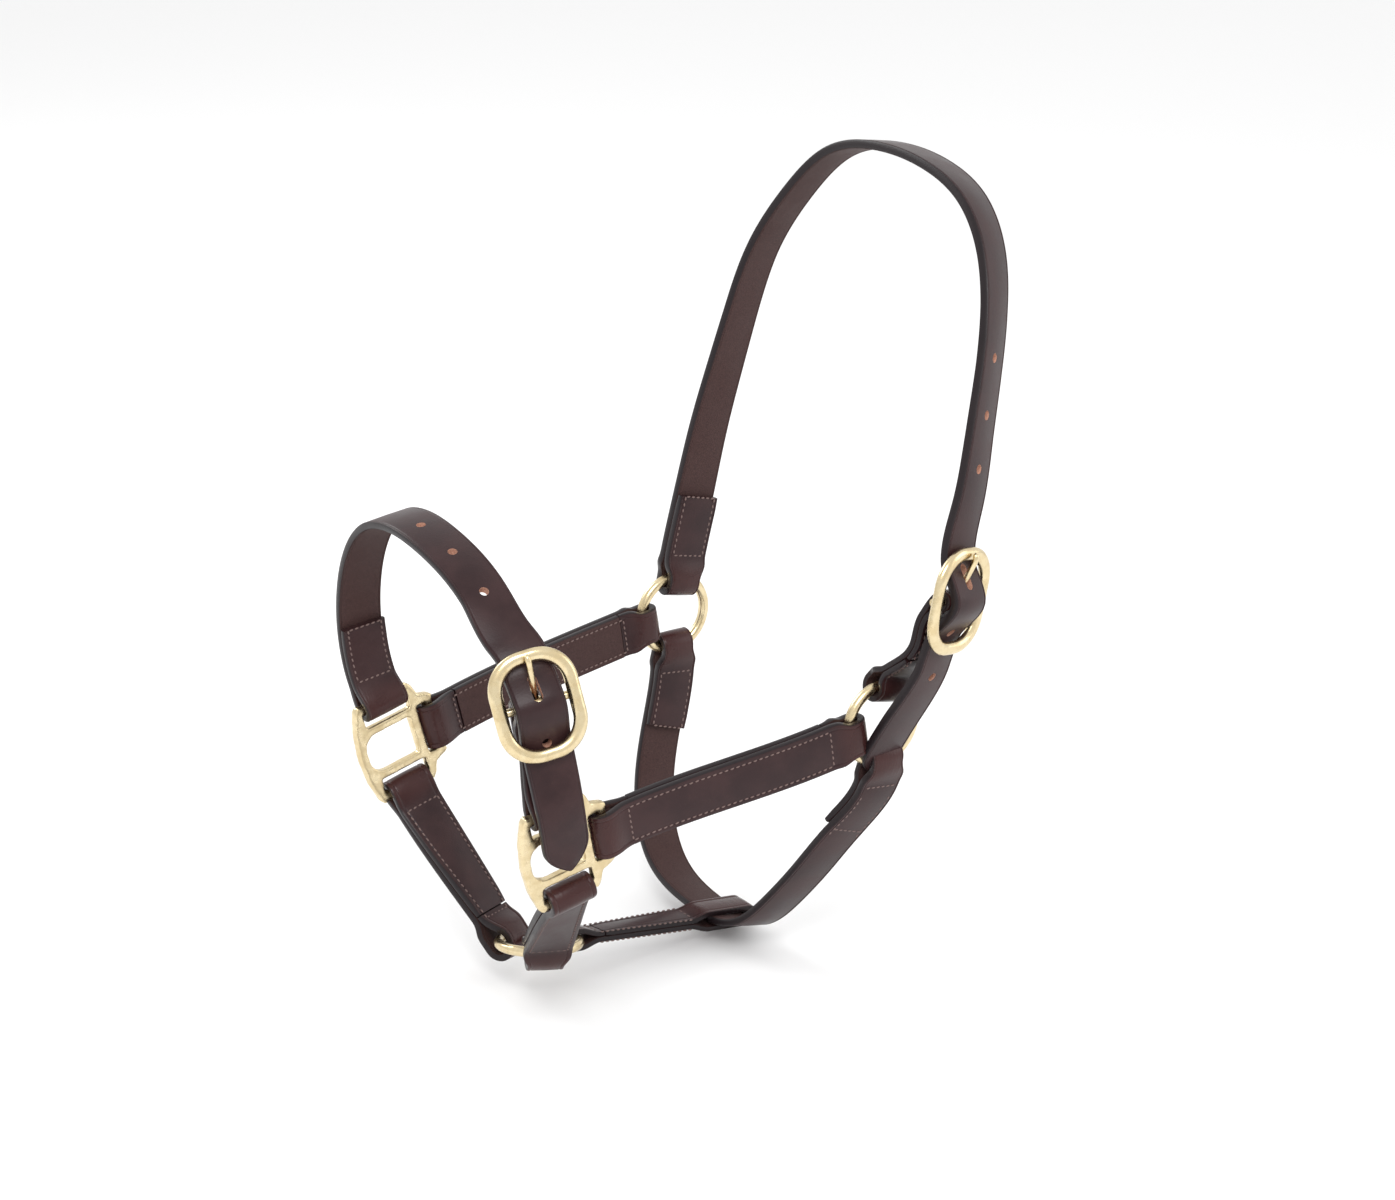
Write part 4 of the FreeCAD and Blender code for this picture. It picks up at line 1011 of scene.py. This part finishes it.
# ------------------------------------------------------------------ brass pieces

def make_ring(name, place):
    bm = bmesh.new()
    made = bmesh.ops.create_circle(bm, segments=24, radius=RING_WIRE)
    bmesh.ops.rotate(bm, matrix=Matrix.Rotation(math.pi / 2, 3, "X"), verts=bm.verts)
    bmesh.ops.translate(bm, vec=(RING_RADIUS, 0, 0), verts=made["verts"])
    bmesh.ops.spin(bm, geom=bm.verts[:] + bm.edges[:], axis=(0, 0, 1), cent=(0, 0, 0),
                   angle=math.tau, steps=112, use_merge=True)
    bmesh.ops.recalc_face_normals(bm, faces=bm.faces)
    bmesh.ops.transform(bm, matrix=place.matrix(), verts=bm.verts)
    piece = finished(bm, name, name, WIRE_BRASS, 180.0)
    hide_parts(name)


def round_outline(wide, deep, count=18):
    return [(wide * math.cos(math.tau * step / count), deep * math.sin(math.tau * step / count))
            for step in range(count)]


def make_buckle(kind, body, buckle):
    """A wire frame with a flattened face, and a bar across its middle."""
    x, y, corner = BUCKLE_WIDE / 2, BUCKLE_LONG / 2, BUCKLE_CORNER
    sections, arc_steps = [], 14
    for way_x, way_y, first in ((1, 1, 0), (-1, 1, 90), (-1, -1, 180), (1, -1, 270)):
        for step in range(arc_steps + 1):
            sine, cosine = lean(first + 90.0 * step / arc_steps)
            point = buckle.at(way_x * (x - corner) + corner * cosine,
                              way_y * (y - corner) + corner * sine, BUCKLE_SET)
            along = buckle.v * cosine - buckle.u * sine
            across = buckle.u * cosine + buckle.v * sine
            belly = 1.0 + 0.06 * abs(cosine)
            sections.append(Station(point, along, across * -1, wide=belly))
    bm = sweep(sections, round_outline(BUCKLE_WIRE * 1.18, BUCKLE_WIRE * 0.92, 24), 1.0, closed=True)
    bar = [Station(buckle.at(u), buckle.u, buckle.v, wide=1.0) for u in (-x, -x / 2, 0, x / 2, x)]
    add_part(bm, sweep(bar, round_outline(BUCKLE_BAR, BUCKLE_BAR), 1.0))
    name = f"{kind}_buckle_frame"
    piece = finished(bm, name, body, WIRE_BRASS, 60.0)
    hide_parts(name)
    make_tongue(kind, buckle)


def make_tongue(kind, buckle):
    """An eye on the bar and a pin that comes up through the billet and lies on the frame."""
    rest_v, rest_w = BUCKLE_LONG / 2, BUCKLE_SET + BUCKLE_WIRE + TONGUE_WIRE + 0.1
    path = [(3.2, 1.0), (8.0, 2.6), (14.0, 4.8), (18.5, 6.3), (rest_v - 1.2, rest_w + 0.3),
            (rest_v + 1.6, rest_w - 0.5)]
    points = [buckle.at(0, v, w) for v, w in path]
    stations = route(points, [buckle.u] * len(points), step=0.7)
    total = stations[-1].distance
    for one in stations:
        left = total - one.distance
        one.wide = one.thick = 1.0 - 0.12 * one.distance / total
        if left < TONGUE_WIRE:
            round_off = math.sqrt(max(1 - (1 - left / TONGUE_WIRE) ** 2, 0.01))
            one.wide, one.thick = one.wide * round_off, one.thick * round_off
    bm = sweep(stations, round_outline(TONGUE_WIRE, TONGUE_WIRE, 16), 1.0)
    eye = [Station(buckle.at(u), buckle.u, buckle.v, wide=1.0) for u in (-2.5, 0.0, 2.5)]
    add_part(bm, sweep(eye, round_outline(BUCKLE_BAR + 1.5, BUCKLE_BAR + 1.5, 24), 1.0))
    name = f"{kind}_buckle_tongue"
    piece = finished(bm, name, f"{kind}_tongue", WIRE_BRASS, 50.0)
    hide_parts(name)


def make_square(side):
    """The cast square, its machined outline softened as a sand casting's is."""
    name = f"{side}_square"
    mesh = frame["nodes"][name].data.copy()
    bm = bmesh.new()
    bm.from_mesh(mesh)
    bmesh.ops.remove_doubles(bm, verts=bm.verts, dist=1e-6)
    bm.to_mesh(mesh)
    bm.free()
    piece = bpy.data.objects.new(f"{side}_square_cast", mesh)
    bpy.context.scene.collection.objects.link(piece)
    remesh = piece.modifiers.new("even", "REMESH")
    remesh.mode, remesh.voxel_size, remesh.use_smooth_shade = "VOXEL", 0.5 * MM, True
    smooth = piece.modifiers.new("soften", "SMOOTH")
    smooth.factor, smooth.iterations = 0.5, 26
    bake_modifiers(piece)
    piece.data.materials.clear()
    piece.data.materials.append(CAST_BRASS)
    piece.data.shade_smooth()
    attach(piece, "front")
    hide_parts(name)


# ------------------------------------------------------------------ the headcollar

for side in SIDES:
    make_square(side)
    make_ring(f"{side}_ring", Place(RING[side], BACK, UP * -1))
    make_cheek(side)
    make_chin_strap(side)
make_ring("chin_ring", CHIN)
make_crown_strap()
make_nose_strap()
make_throat_strap()
make_jaw_strap()

near_bar = SQUARE["near"].u
nose_leave = NOSE_UP + OFF_SIDE * 0.05
make_chape("nose_chape", "front", NOSE_BUCKLE, NOSE_BAR["near"], near_bar,
           nose_leave - near_bar * nose_leave.dot(near_bar), bar_eye(SQUARE_BAR))
make_chape("crown_chape", "crown", CROWN_BUCKLE, RING["near"] + CROWN_UP * RING_RADIUS,
           CROWN_BACK, CROWN_UP + OFF_SIDE * -0.8, ring_eye(WAIST, 39.0))
make_buckle("nose", "front", NOSE_BUCKLE)
make_buckle("crown", "crown", CROWN_BUCKLE)


# ------------------------------------------------------------------ stage

def plain_floor(level):
    bm = bmesh.new()
    bmesh.ops.create_circle(bm, cap_ends=True, segments=64, radius=12.0)
    bmesh.ops.translate(bm, vec=(0, 0, level), verts=bm.verts)
    mesh = bpy.data.meshes.new("floor")
    bm.to_mesh(mesh)
    bm.free()
    material, shader, _ = new_material("pale_floor")
    shader.inputs["Base Color"].default_value = (0.9, 0.9, 0.9, 1)
    shader.inputs["Roughness"].default_value = 0.9
    shader.inputs["Specular IOR Level"].default_value = 0.1
    mesh.materials.append(material)
    floor = bpy.data.objects.new("floor", mesh)
    bpy.context.scene.collection.objects.link(floor)


def look(thing, at):
    thing.rotation_euler = (Vector(at) - thing.location).to_track_quat("-Z", "Y").to_euler()


def soft_light(name, place, at, wide, power):
    light = bpy.data.lights.new(name, "AREA")
    light.size, light.energy = wide, power
    lamp = bpy.data.objects.new(name, light)
    lamp.location = place
    bpy.context.scene.collection.objects.link(lamp)
    look(lamp, at)


def studio(middle):
    world = bpy.data.worlds.new("studio")
    world.use_nodes = True
    back = world.node_tree.nodes["Background"]
    back.inputs["Color"].default_value = (1, 1, 1, 1)
    back.inputs["Strength"].default_value = 1.0
    bpy.context.scene.world = world
    soft_light("key", middle + Vector((-0.7, -1.1, 1.3)), middle, 0.7, 15.0)
    soft_light("fill", middle + Vector((1.4, -0.9, 0.5)), middle, 1.1, 5.0)
    soft_light("rim", middle + Vector((-0.5, 1.4, 0.9)), middle, 0.8, 9.0)


def make_camera():
    """Looks from ahead of the near side, a little above, past the squares to the right."""
    distance, aside, above = 1.6, 0.113, 0.0925
    azimuth_sin, azimuth_cos = lean(-30.0)
    lift_sin, lift_cos = lean(24.0)
    away = Vector((azimuth_sin * lift_cos, -azimuth_cos * lift_cos, lift_sin))
    right = Vector((azimuth_cos, azimuth_sin, 0))
    upright = Vector((-lift_sin * azimuth_sin, lift_sin * azimuth_cos, lift_cos))
    squares = (SQUARE["off"].origin + SQUARE["near"].origin) * (0.5 * MM)
    camera = bpy.data.cameras.new("camera")
    camera.lens, camera.sensor_width = 85.3, 36.0
    viewer = bpy.data.objects.new("camera", camera)
    viewer.location = squares + away * distance
    bpy.context.scene.collection.objects.link(viewer)
    look(viewer, squares + right * aside + upright * above)
    bpy.context.scene.camera = viewer


low, high = Vector(cad_box[0]), Vector(cad_box[1])
plain_floor(low.z - 0.002)
studio((low + high) / 2)
make_camera()
bpy.context.scene.view_settings.view_transform = "Standard"
